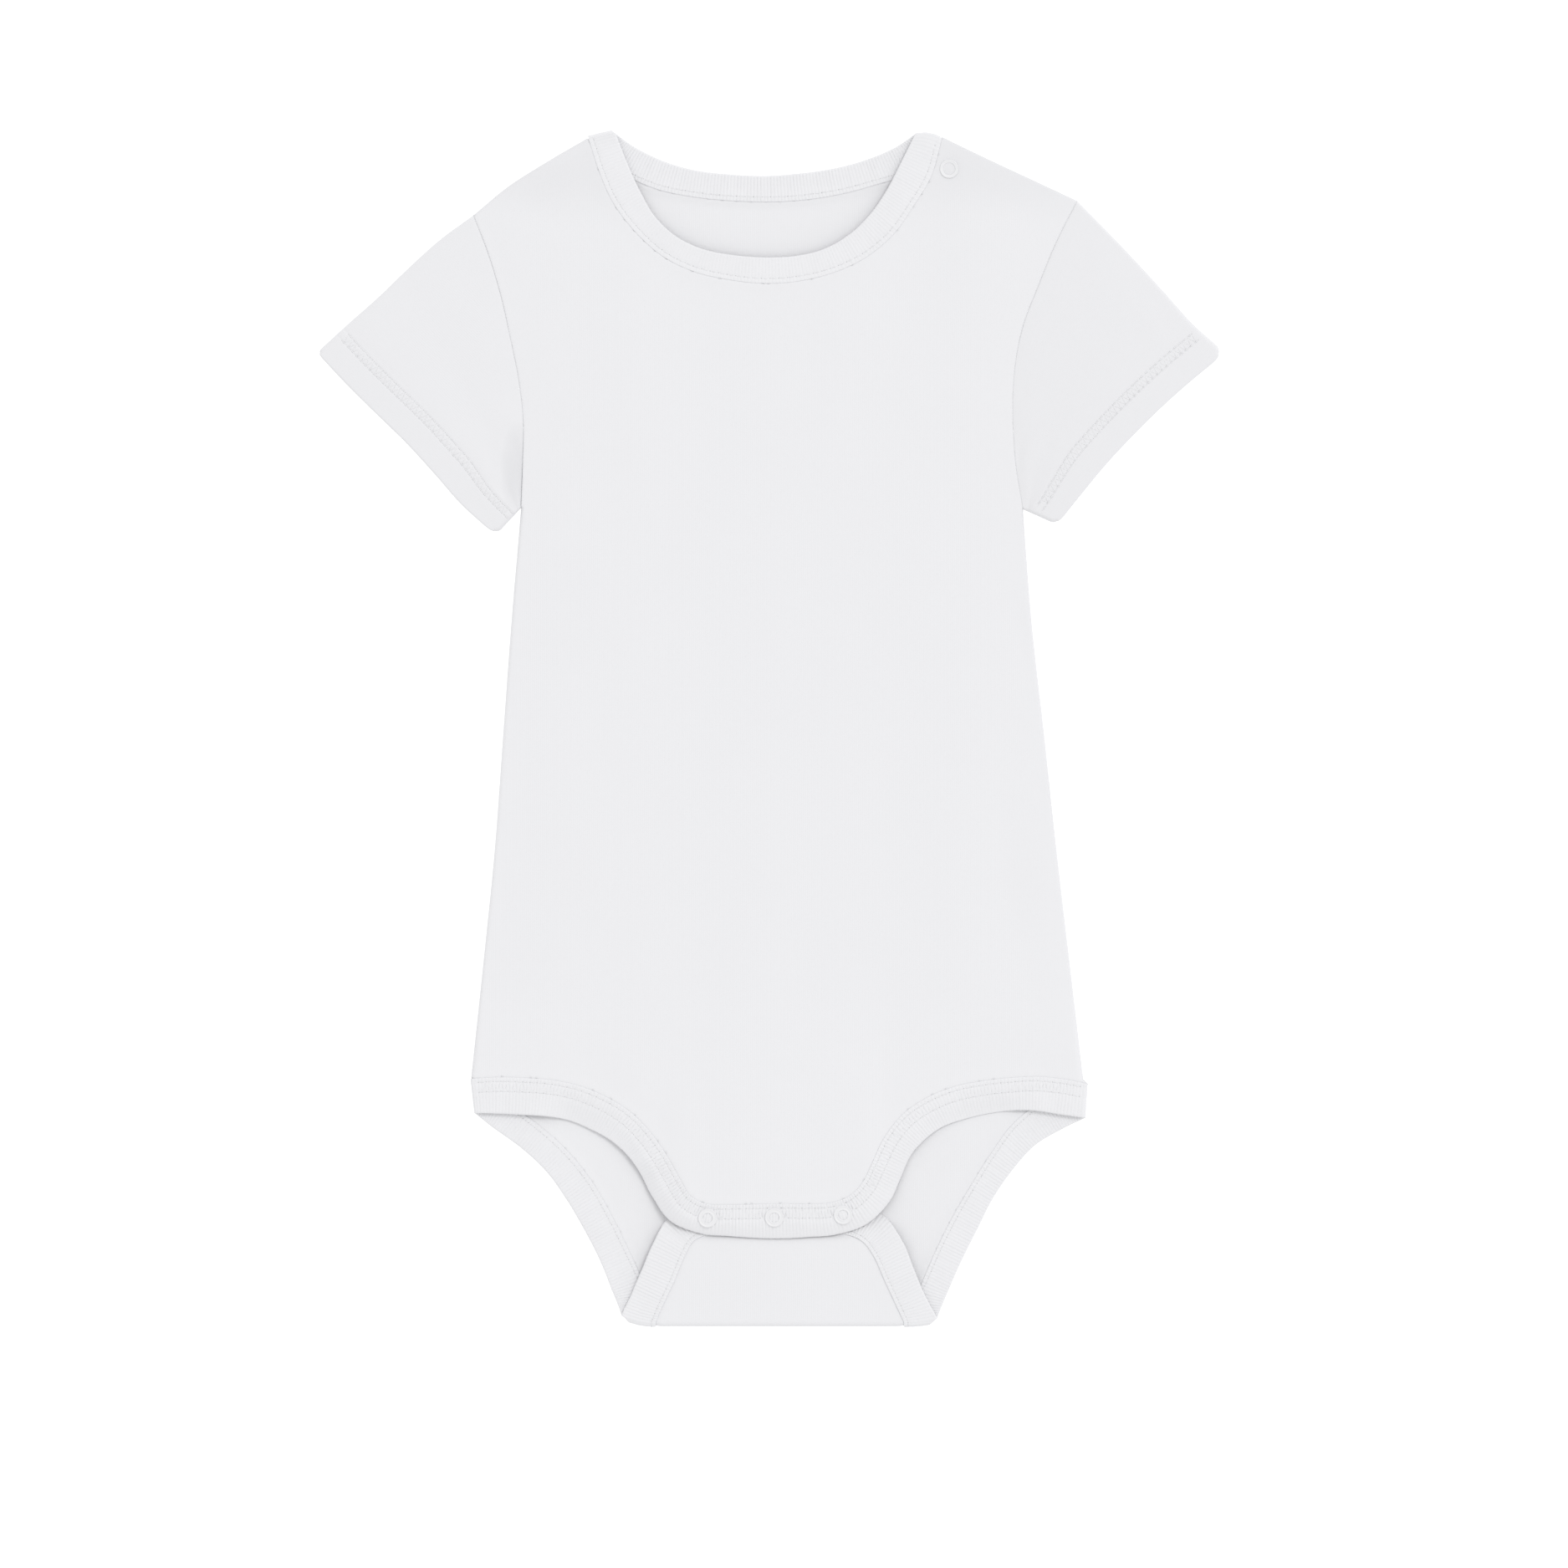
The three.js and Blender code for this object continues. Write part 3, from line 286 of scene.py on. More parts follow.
# on a sleeve: place along it (0 armhole, 1 hem's stitches), place across it (0 upper edge, 1 underarm) at both ends
SLEEVE_CREASES = table("s0 w0 s1 w1 width depth", [
    (0.0, 0.86, 0.55, 0.70, 5.0, 0.34),
    (0.04, 0.62, 0.42, 0.52, 6.5, 0.16),
    (0.10, 0.22, 0.60, 0.30, 8.0, 0.14),
    (0.45, 0.93, 0.95, 0.86, 5.0, 0.2),
    (0.55, 0.12, 0.98, 0.14, 6.0, -0.14),
])


# ---- plan curves ------------------------------------------------------------------------------------------------------

def seam(t):
    return np.stack([t["sx"], t["sy"]], 1)


def edge(t):
    return np.stack([t["ex"], t["ey"]], 1)


def plain(t):
    return np.stack([t["x"], t["y"]], 1)


def curve_at(pts, t):
    """smooth curve through the rows, t from 0 to rows - 1"""
    t = np.asarray(t, float)
    n = len(pts) - 1
    ext = np.vstack([2 * pts[0] - pts[1], pts, 2 * pts[-1] - pts[-2]])
    i = np.clip(np.floor(t), 0, n - 1).astype(int)
    f = (t - i)[..., None]
    a, b, c, d = ext[i], ext[i + 1], ext[i + 2], ext[i + 3]
    return 0.5 * (2 * b + (c - a) * f + (2 * a - 5 * b + 4 * c - d) * f * f + (3 * b - a - 3 * c + d) * f**3)


def run_of(pts):
    return np.concatenate([[0], np.cumsum(np.linalg.norm(np.diff(pts, axis=0), axis=1))])


def resample(pts, spacing):
    s = run_of(pts)
    n = max(1, round(s[-1] / spacing))
    at = np.linspace(0, s[-1], n + 1)
    return np.stack([np.interp(at, s, pts[:, k]) for k in range(pts.shape[1])], 1)


def walk(pts, spacing):
    return resample(curve_at(pts, np.linspace(0, len(pts) - 1, (len(pts) - 1) * 24 + 1)), spacing)


def ease(a, b, v):
    t = np.clip((v - a) / (b - a), 0, 1)
    return t * t * (3 - 2 * t)


def mix(a, b, t):
    return a + (b - a) * t


def round_off(u):
    """quarter circle: 0 at 0, 1 from 1 on, upright where it starts"""
    u = np.clip(u, 0, 1)
    return np.sqrt(np.maximum(0, 1 - (1 - u) ** 2))


def unit(v):
    return v / np.maximum(1e-12, np.linalg.norm(v, axis=-1, keepdims=True))


# ---- heights ----------------------------------------------------------------------------------------------------------

def segments_of(lines):
    a = np.vstack([l[:-1] for l in lines])
    b = np.vstack([l[1:] for l in lines])
    return a, b


def from_segments(p, a, b):
    """distance from each point to the nearest of the segments"""
    out = np.empty(len(p))
    d = b - a
    dd = (d * d).sum(1)
    for i in range(0, len(p), 4000):
        q = p[i:i + 4000, None, :] - a[None]
        t = np.clip((q * d[None]).sum(2) / dd[None], 0, 1)
        r = q - t[..., None] * d[None]
        out[i:i + 4000] = np.sqrt((r * r).sum(2).min(1))
    return out


SIDES = segments_of([walk(plain(t), 6) for t in (SHOULDER_R, ARMHOLE_R, SIDE_R, SHOULDER_L, ARMHOLE_L, SIDE_L)])


def front_z(x, y):
    """height of the middle of the front layer: as in the solid model, a little lower beside the snaps"""
    x, y = np.asarray(x, float), np.asarray(y, float)
    shape = x.shape
    p = np.stack([x.ravel(), y.ravel()], 1)
    x, y = p[:, 0], p[:, 1]
    d = from_segments(p, *SIDES)
    near = 1 - np.minimum(d, LOFT_REACH) / LOFT_REACH
    z = SEAM_Z + LOFT * (1 - near**2.2) + HIP_LIFT * ease(-98, -126, y) * near**2
    over = ease(-95, -176, y) * (1 - ease(38, 82, np.abs(x - PLACKET_X)))
    z = mix(z, PLACKET_Z, over) - 1.5 * over * ease(32, 46, np.abs(x - 2.5))
    for cx, cy, cz, flat, reach, sewn in zip(*NECK_CORNERS.values()):
        held = np.minimum(1, d / 5) if sewn else 1
        z = mix(z, cz, (1 - ease(flat, reach, np.hypot(x - cx, y - cy))) * held)
    return z.reshape(shape)


def flap_z(y):
    """height of the middle of the flap: its end dips under the placket, just before that it swells a little"""
    return mix(FLAP_Z + 0.6 * ease(-222, -203, y), FLAP_END_Z, ease(-197.5, -190.5, y))


def creases(rows, u, v):
    """sum of the soft creases at the points u, v; above 0 is up"""
    out = np.zeros_like(u)
    for k, (u0, v0, u1, v1, width, depth) in enumerate(zip(*rows.values())):
        du, dv = u1 - u0, v1 - v0
        size = math.hypot(du, dv)
        along = ((u - u0) * du + (v - v0) * dv) / size / size
        bow = 0.06 * size * np.sin(np.pi * np.clip(along, 0, 1)) * (1 if k % 2 else -1)
        across = ((v - v0) * du - (u - u0) * dv) / size - bow
        ends = ease(-0.18, 0.3, along) * ease(1.2, 0.62, along)
        uneven = 1 + 0.25 * np.sin(along * 5.1 + k)
        out -= depth * uneven * ends * np.exp(-((across / (width * (0.8 + 0.4 * np.clip(along, 0, 1)))) ** 2))
    return out


def rumple(x, y):
    """the slight unevenness of cloth that was smoothed by hand"""
    out = 0.10 * np.sin(x / 31 + 1.1 * np.sin(y / 47)) * np.sin(y / 39 + 0.8)
    out += 0.055 * np.sin(x / 13.7 + 0.9 * np.sin(y / 21.3) + 2.0) * np.sin(y / 17.1 + 0.4 * np.sin(x / 19))
    out += 0.02 * np.sin(x / 6.1 + y / 9.7 + 1.3 * np.sin(y / 11)) * np.sin(y / 7.3 - x / 12.9)
    return out


# ---- meshes -----------------------------------------------------------------------------------------------------------

def fold_ends(x, y):
    """how far the crotch fold's two ends lie higher than its middle"""
    right, left = np.clip((-44 - x) / 10, 0, 1.12), np.clip((x - 52) / 10, 0, 1.2)
    return (1.9 * right**2 + 0.9 * left**2) * ease(-213, -227, y) * (np.abs(x) < 90)


def make(name, verts, faces, material, smooth=True, sharp=None):
    """verts in millimetres in the pattern's frame; faces as lists of arrays (triangles, quads) or of tuples"""
    v = np.asarray(verts, float).copy()
    v[:, 1] += fold_ends(v[:, 0], v[:, 1])
    v[:, 0] += MOVE[0]
    v[:, 1] += MOVE[1]
    v *= MM
    loops, starts, counts = [], [], []
    at = 0
    for block in faces:
        if isinstance(block, np.ndarray):
            loops.append(block.ravel())
            starts.append(at + np.arange(len(block)) * block.shape[1])
            counts.append(np.full(len(block), block.shape[1]))
            at += block.size
        else:
            loops.append(np.array(block))
            starts.append([at])
            counts.append([len(block)])
            at += len(block)
    loops, starts, counts = np.concatenate(loops), np.concatenate(starts), np.concatenate(counts)
    mesh = bpy.data.meshes.new(name)
    mesh.vertices.add(len(v))
    mesh.vertices.foreach_set("co", v.ravel())
    mesh.loops.add(len(loops))
    mesh.loops.foreach_set("vertex_index", loops.astype(np.int32))
    mesh.polygons.add(len(starts))
    mesh.polygons.foreach_set("loop_start", starts.astype(np.int32))
    mesh.polygons.foreach_set("loop_total", counts.astype(np.int32))
    mesh.polygons.foreach_set("use_smooth", np.full(len(starts), smooth))
    mesh.update(calc_edges=True)
    mesh.validate()
    mesh.materials.append(material)
    obj = bpy.data.objects.new(name, mesh)
    bpy.context.scene.collection.objects.link(obj)
    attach(obj, "root")
    return obj


def outward(verts, tris):
    """True if the closed surface's faces point out"""
    a, b, c = (verts[tris[:, k]] for k in range(3))
    return float(np.einsum("ij,ij->i", a, np.cross(b, c)).sum()) > 0


def area_of(poly):
    x, y = poly[:, 0], poly[:, 1]
    return abs(float((x * np.roll(y, -1) - y * np.roll(x, -1)).sum())) / 2


def tree_of(pts):
    tree = KDTree(len(pts))
    for i, p in enumerate(pts):
        tree.insert((p[0], p[1], 0), i)
    tree.balance()
    return tree


def near_to(pts, line):
    """distance from each point to a line that is walked in small steps"""
    tree = tree_of(line)
    return np.array([tree.find((p[0], p[1], 0))[2] for p in pts])


def inside(pts, poly):
    odd = np.zeros(len(pts), bool)
    x, y = pts[:, 0], pts[:, 1]
    for (ax, ay), (bx, by) in zip(poly, np.roll(poly, 1, axis=0)):
        if ay == by:
            continue
        odd ^= ((ay > y) != (by > y)) & (x < (bx - ax) * (y - ay) / (by - ay) + ax)
    return odd


RINGS = (0.3, 0.7, 1.25, 2.0, 3.0)


def fill(outline, seams, edges, spacing, extra=(), skip=None):
    """Points and triangles inside an outline: close rows along its seams and edges, even spacing further in."""
    lines = [*seams, *edges]
    dense = np.vstack([resample(l, 0.25) for l in lines] + [resample(np.vstack([outline, outline[:1]]), 0.25)])
    tree = tree_of(dense)
    cloud = []
    for number, line in enumerate(lines):
        p = resample(line, 1.1)
        t = unit(np.gradient(p, axis=0))
        n = np.stack([-t[:, 1], t[:, 0]], 1)
        for side in (1, -1):
            for k, off in enumerate(RINGS):
                q = p + side * n * off
                if k % 2:
                    q = (q[1:] + q[:-1]) / 2
                cloud.append((q, off * 0.93))
        if number < len(seams):
            cloud.append((p[1:-1], 0))
    lo, hi = outline.min(0), outline.max(0)
    rows = np.arange(lo[1] + 0.4, hi[1], spacing * 0.866)
    grid = []
    for r, y in enumerate(rows):
        xs = np.arange(lo[0] + (spacing / 2 if r % 2 else 0.1), hi[0], spacing)
        grid.append(np.stack([xs + 0.02 * np.sin(r * 3.1 + xs), np.full_like(xs, y) + 0.02 * np.cos(xs * 1.7)], 1))
    grid = np.vstack(grid)
    if skip is not None:
        grid = grid[~skip(grid)]
    cloud.append((grid, RINGS[-1] + 0.6))
    kept = []
    for pts, clear in cloud:
        pts = pts[inside(pts, outline)]
        if clear:
            d = np.array([tree.find((p[0], p[1], 0))[2] for p in pts]) if len(pts) else np.zeros(0)
            pts = pts[d >= clear]
        kept.append(pts)
    for pts in extra:
        kept.append(pts[inside(pts, outline)])
    pts = np.vstack([outline] + kept)
    n = len(outline)
    ring = [(i, (i + 1) % n) for i in range(n)]
    vs, _, fs, orig, _, _ = delaunay_2d_cdt([Vector(p) for p in pts], ring, [], 1, 1e-5)
    out = np.array([(v.x, v.y) for v in vs])
    tris = np.array([f for f in fs if len(f) == 3])
    a, b, c = (out[tris[:, k]] for k in range(3))
    turn = (b[:, 0] - a[:, 0]) * (c[:, 1] - a[:, 1]) - (b[:, 1] - a[:, 1]) * (c[:, 0] - a[:, 0])
    tris = tris[np.abs(turn) > 1e-7]
    turn = turn[np.abs(turn) > 1e-7]
    tris = np.where(turn[:, None] > 0, tris, tris[:, ::-1])
    rim = np.array([min(o) < n if o else False for o in orig])
    return out, tris, rim


def border(tris):
    """the edges that have a triangle on one side only"""
    e = np.vstack([tris[:, [0, 1]], tris[:, [1, 2]], tris[:, [2, 0]]])
    size = int(tris.max()) + 1
    key, rev = e[:, 0].astype(np.int64) * size + e[:, 1], e[:, 1].astype(np.int64) * size + e[:, 0]
    return e[~np.isin(key, rev)]


def shell(name, tris, upper, lower, material):
    """closed thin body between two faces that share their pattern"""
    n = len(upper)
    rim = border(tris)
    wall = np.stack([rim[:, 0], rim[:, 0] + n, rim[:, 1] + n, rim[:, 1]], 1)
    verts = np.vstack([upper, lower])
    return make(name, verts, [tris, tris[:, ::-1] + n, wall], material)


# ---- materials --------------------------------------------------------------------------------------------------------

class Graph:
    """short calls for shader nodes"""

    def __init__(self, name):
        self.material = bpy.data.materials.new(name)
        self.material.use_nodes = True
        self.tree = self.material.node_tree
        self.tree.nodes.clear()
        self.out = self.tree.nodes.new("ShaderNodeOutputMaterial")
        self.bsdf = self.tree.nodes.new("ShaderNodeBsdfPrincipled")
        self.link(self.bsdf.outputs[0], self.out.inputs[0])

    def link(self, a, b):
        self.tree.links.new(a, b)

    def place(self, scale=(1, 1, 1), turn=0.0):
        coord = self.tree.nodes.new("ShaderNodeTexCoord")
        mapping = self.tree.nodes.new("ShaderNodeMapping")
        mapping.inputs["Scale"].default_value = scale
        mapping.inputs["Rotation"].default_value = (0, 0, turn)
        self.link(coord.outputs["Object"], mapping.inputs["Vector"])
        return mapping.outputs[0]

    def noise(self, where, scale, detail=3.0, rough=0.55):
        n = self.tree.nodes.new("ShaderNodeTexNoise")
        n.inputs["Scale"].default_value = scale
        n.inputs["Detail"].default_value = detail
        n.inputs["Roughness"].default_value = rough
        self.link(where, n.inputs["Vector"])
        return n.outputs["Fac"]

    def math(self, op, a, b=None, c=None):
        n = self.tree.nodes.new("ShaderNodeMath")
        n.operation = op
        for k, v in enumerate((a, b, c)):
            if v is None:
                continue
            if isinstance(v, (int, float)):
                n.inputs[k].default_value = v
            else:
                self.link(v, n.inputs[k])
        return n.outputs[0]

    def split(self, where):
        n = self.tree.nodes.new("ShaderNodeSeparateXYZ")
        self.link(where, n.inputs[0])
        return n.outputs

    def ramp(self, fac, low, high, at=(0.0, 1.0)):
        n = self.tree.nodes.new("ShaderNodeValToRGB")
        n.color_ramp.elements[0].position, n.color_ramp.elements[1].position = at
        n.color_ramp.elements[0].color = (*low, 1)
        n.color_ramp.elements[1].color = (*high, 1)
        self.link(fac, n.inputs[0])
        return n.outputs[0]

    def bump(self, height, strength, distance, under=None):
        n = self.tree.nodes.new("ShaderNodeBump")
        n.inputs["Strength"].default_value = strength
        n.inputs["Distance"].default_value = distance
        self.link(height, n.inputs["Height"])
        if under is not None:
            self.link(under, n.inputs["Normal"])
        return n.outputs[0]

    def level(self, fac, low, high):
        n = self.tree.nodes.new("ShaderNodeMapRange")
        n.inputs["To Min"].default_value = low
        n.inputs["To Max"].default_value = high
        self.link(fac, n.inputs["Value"])
        return n.outputs[0]


def knit(name, tint, wale=0.78, course=0.62, turn=0.0, depth=1.0, shoulder_shade=None, underarm_shade=None):
    """fine interlock knit: upright columns of small loops, soft fuzz, faint unevenness of the yarn; painted shade in
    the grooves between columns, and, when asked, near the shoulders and in an underarm
    """
    g = Graph(name)
    where = g.place(turn=turn)
    x, y, _ = g.split(where)
    col = g.math("MULTIPLY", x, 1000 / wale)
    row = g.math("MULTIPLY", y, 1000 / course)
    wobble = g.noise(where, 420, 2.0)
    col = g.math("ADD", col, g.math("MULTIPLY", wobble, 0.5))
    leg = g.math("PINGPONG", col, 0.5)  # 0 in the groove between columns, 0.5 on a column's middle
    slant = g.math("ADD", row, g.math("MULTIPLY", leg, 1.5))
    loop = g.math("ABSOLUTE", g.math("SINE", g.math("MULTIPLY", slant, math.pi)))
    column = g.math("POWER", g.math("SINE", g.math("MULTIPLY", leg, math.pi)), 0.6)
    yarn = g.math("MULTIPLY", column, g.math("ADD", 0.55, g.math("MULTIPLY", loop, 0.45)))
    fuzz = g.noise(where, 2600, 4.0, 0.7)
    cloud = g.noise(g.place(scale=(1, 0.6, 1)), 34, 3.0)
    mid = g.noise(where, 260, 3.0)
    low = tuple(c * 0.993 for c in tint)
    high = tuple(min(1.0, c * 1.005) for c in tint)
    shade = g.math("ADD", g.math("MULTIPLY", cloud, 0.6), g.math("MULTIPLY", mid, 0.4))
    base = g.ramp(shade, low, high, (0.3, 0.7))
    mixer = g.tree.nodes.new("ShaderNodeMix")
    mixer.data_type = "RGBA"
    mixer.blend_type = "MULTIPLY"
    mixer.inputs[0].default_value = 1.0
    g.link(base, mixer.inputs[6])
    # painted shade: the grooves between the columns are made up to 1 % darker than the loops
    g.link(g.ramp(yarn, (0.990,) * 3, (1.0,) * 3, (0.0, 0.6)), mixer.inputs[7])
    colour = mixer.outputs[2]
    if shoulder_shade:  # painted shade: the front is made a little greyer towards the shoulders, standing in for the shade where the cloth slopes away there
        n = g.tree.nodes.new("ShaderNodeMapRange")
        n.interpolation_type = "SMOOTHSTEP"
        n.inputs["From Min"].default_value, n.inputs["From Max"].default_value = shoulder_shade
        g.link(g.math("ADD", g.split(g.place())[1], g.math("MULTIPLY", cloud, 0.012)), n.inputs["Value"])
        wash = g.tree.nodes.new("ShaderNodeMix")
        wash.data_type, wash.blend_type = "RGBA", "MULTIPLY"
        wash.inputs[0].default_value = 1.0
        g.link(colour, wash.inputs[6])
        g.link(g.ramp(n.outputs[0], (1.0, 1.0, 1.0), (0.966, 0.966, 0.967)), wash.inputs[7])
        colour = wash.outputs[2]
    if underarm_shade:  # painted shade of the underarm hollow, in an ellipse: middle x, y and half sizes
        px, py, _ = g.split(g.place())
        u = g.math("MULTIPLY", g.math("SUBTRACT", px, underarm_shade[0]), 1 / underarm_shade[2])
        v = g.math("MULTIPLY", g.math("SUBTRACT", py, underarm_shade[1]), 1 / underarm_shade[3])
        far = g.math("ADD", g.math("MULTIPLY", u, u), g.math("MULTIPLY", v, v))
        far = g.math("ADD", far, g.math("MULTIPLY", g.math("SUBTRACT", cloud, 0.5), 0.5))
        wash = g.tree.nodes.new("ShaderNodeMix")
        wash.data_type, wash.blend_type = "RGBA", "MULTIPLY"
        wash.inputs[0].default_value = 1.0
        g.link(colour, wash.inputs[6])
        g.link(g.ramp(far, (0.925, 0.925, 0.928), (1.0, 1.0, 1.0), (0.0, 1.0)), wash.inputs[7])
        colour = wash.outputs[2]
    g.link(colour, g.bsdf.inputs["Base Color"])
    g.link(g.level(fuzz, 0.86, 0.98), g.bsdf.inputs["Roughness"])
    b = g.bump(yarn, 0.13 * depth, 0.00012)
    b = g.bump(fuzz, 0.10 * depth, 0.00010, b)
    b = g.bump(mid, 0.05 * depth, 0.0004, b)
    g.link(b, g.bsdf.inputs["Normal"])
    g.bsdf.inputs["Sheen Weight"].default_value = 0.12
    g.bsdf.inputs["Sheen Roughness"].default_value = 0.55
    g.bsdf.inputs["Specular IOR Level"].default_value = 0.12
    return g.material


def ribbed(name, tint):
    """yarn of the rib strips: the wales are modelled, this adds their loops and fuzz"""
    g = Graph(name)
    where = g.place()
    fine = g.noise(where, 1500, 3.0, 0.65)
    loops = g.noise(g.place(scale=(1, 1, 1), turn=0.6), 900, 2.0)
    cloud = g.noise(where, 90, 3.0)
    low = tuple(c * 0.975 for c in tint)
    high = tuple(min(1.0, c * 1.012) for c in tint)
    base = g.ramp(g.math("ADD", g.math("MULTIPLY", cloud, 0.5), g.math("MULTIPLY", fine, 0.5)), low, high, (0.32, 0.68))
    g.link(base, g.bsdf.inputs["Base Color"])
    g.link(g.level(fine, 0.88, 0.98), g.bsdf.inputs["Roughness"])
    b = g.bump(loops, 0.25, 0.00018)
    b = g.bump(fine, 0.22, 0.00010, b)
    g.link(b, g.bsdf.inputs["Normal"])
    g.bsdf.inputs["Sheen Weight"].default_value = 0.12
    g.bsdf.inputs["Sheen Roughness"].default_value = 0.55
    g.bsdf.inputs["Specular IOR Level"].default_value = 0.1
    return g.material


def thread(name, tint):
    g = Graph(name)
    where = g.place()
    ply = g.tree.nodes.new("ShaderNodeTexWave")
    ply.wave_type = "BANDS"
    ply.bands_direction = "DIAGONAL"
    ply.inputs["Scale"].default_value = 900
    ply.inputs["Distortion"].default_value = 1.5
    g.link(where, ply.inputs["Vector"])
    base = g.ramp(g.noise(where, 300, 2.0), tuple(c * 0.97 for c in tint), tint, (0.3, 0.7))
    g.link(base, g.bsdf.inputs["Base Color"])
    g.link(g.level(ply.outputs["Fac"], 0.5, 0.7), g.bsdf.inputs["Roughness"])
    g.link(g.bump(ply.outputs["Fac"], 0.5, 0.00008), g.bsdf.inputs["Normal"])
    g.bsdf.inputs["Sheen Weight"].default_value = 0.1
    g.bsdf.inputs["Specular IOR Level"].default_value = 0.35
    return g.material


def enamel(name, tint):
    g = Graph(name)
    where = g.place()
    n = g.noise(where, 500, 3.0)
    g.link(g.ramp(n, tuple(c * 0.985 for c in tint), tint, (0.3, 0.7)), g.bsdf.inputs["Base Color"])
    g.link(g.level(n, 0.3, 0.42), g.bsdf.inputs["Roughness"])
    g.link(g.bump(n, 0.05, 0.0001), g.bsdf.inputs["Normal"])
    g.bsdf.inputs["Coat Weight"].default_value = 0.08
    g.bsdf.inputs["Coat Roughness"].default_value = 0.35
    g.bsdf.inputs["Specular IOR Level"].default_value = 0.25
    return g.material


def plated(name):
    g = Graph(name)
    n = g.noise(g.place(scale=(1, 1, 12)), 900, 3.0)
    g.link(g.ramp(n, (0.56, 0.57, 0.58), (0.70, 0.71, 0.72), (0.3, 0.7)), g.bsdf.inputs["Base Color"])
    g.link(g.level(n, 0.24, 0.38), g.bsdf.inputs["Roughness"])
    g.link(g.bump(n, 0.08, 0.00005), g.bsdf.inputs["Normal"])
    g.bsdf.inputs["Metallic"].default_value = 1.0
    return g.material


BODY = (0.742, 0.742, 0.758)
JERSEY = knit("jersey", BODY)
# the front's shoulders carry painted shade
FRONT = knit("jersey_front", BODY, shoulder_shade=(0.196, 0.218))
# the right sleeve's underarm carries painted shade
SLEEVE_R = knit("jersey_sleeve_right", tuple(c * 0.985 for c in BODY), turn=-0.82, underarm_shade=(-0.0962, 0.098, 0.0066, 0.0195))
SLEEVE_L = knit("jersey_sleeve_left", tuple(c * 0.985 for c in BODY), turn=0.82)
RIB_MAT = ribbed("rib", tuple(c * 1.008 for c in BODY))
THREAD = thread("thread", (0.757, 0.757, 0.771))
ENAMEL = enamel("snap_enamel", (0.745, 0.745, 0.758))
METAL = plated("snap_metal")
# painted shade: the dark grey of the needle-hole dimples stands in for the shade inside the holes
HOLE_SHADE = ribbed("needle_hole_shade", (0.56, 0.56, 0.57))


# ---- stitches ---------------------------------------------------------------------------------------------------------

CAPSULE_U = np.array([-0.93, -0.7, -0.35, 0.0, 0.35, 0.7, 0.93])


def stitches(name, at, along, up, length, radius, bow=0.14):
    """short threads lying on the cloth, each curved down into it at both ends; all in one mesh"""
    at, along, up = (np.asarray(v, float) for v in (at, along, up))
    k = len(at)
    length = np.broadcast_to(length, k)
    side = unit(np.cross(along, up))
    sides = 6
    ang = np.arange(sides) * 2 * np.pi / sides
    rings = []
    for u in CAPSULE_U:
        r = radius * math.sqrt(max(0.0, 1 - abs(u) ** 3.2))
        centre = at + along * (u * length / 2)[:, None] - up * (bow * u * u)
        rings.append(centre[:, None] + r * (side[:, None] * np.cos(ang)[None, :, None] + up[:, None] * np.sin(ang)[None, :, None]))
    tips = [at + along * (s * length / 2)[:, None] - up * (bow * 1.1) for s in (-1, 1)]
    verts = np.concatenate([np.concatenate(rings, 1), np.stack(tips, 1)], 1)  # k, 7*6+2, 3
    m = verts.shape[1]
    quads, tris = [], []
    for i in range(len(CAPSULE_U) - 1):
        for j in range(sides):
            a, b = i * sides + j, i * sides + (j + 1) % sides
            quads.append((a, b, b + sides, a + sides))
    last = (len(CAPSULE_U) - 1) * sides
    for j in range(sides):
        tris.append((m - 2, (j + 1) % sides, j))
        tris.append((m - 1, last + j, last + (j + 1) % sides))
    base = (np.arange(k) * m)[:, None, None]
    q = (np.array(quads)[None] + base).reshape(-1, 4)
    t = (np.array(tris)[None] + base).reshape(-1, 3)
    verts = verts.reshape(-1, 3)
    test = np.array(quads)[:, [0, 1, 2]]
    if not outward(verts[:m] - verts[:m].mean(0), np.vstack([test, np.array(quads)[:, [0, 2, 3]], np.array(tris)])):
        q, t = q[:, ::-1], t[:, ::-1]
    return make(name, verts, [q, t], THREAD)


# ---- rib strips ---------------------------------------------------------------------------------------------------------

RIB_PITCH = 1.28
RIB_STEPS = 6
RIB_HEIGHT = 0.17
WALE = np.array([0.0, 0.62, 0.93, 1.0, 0.93, 0.62])  # height over one wale, from groove to groove


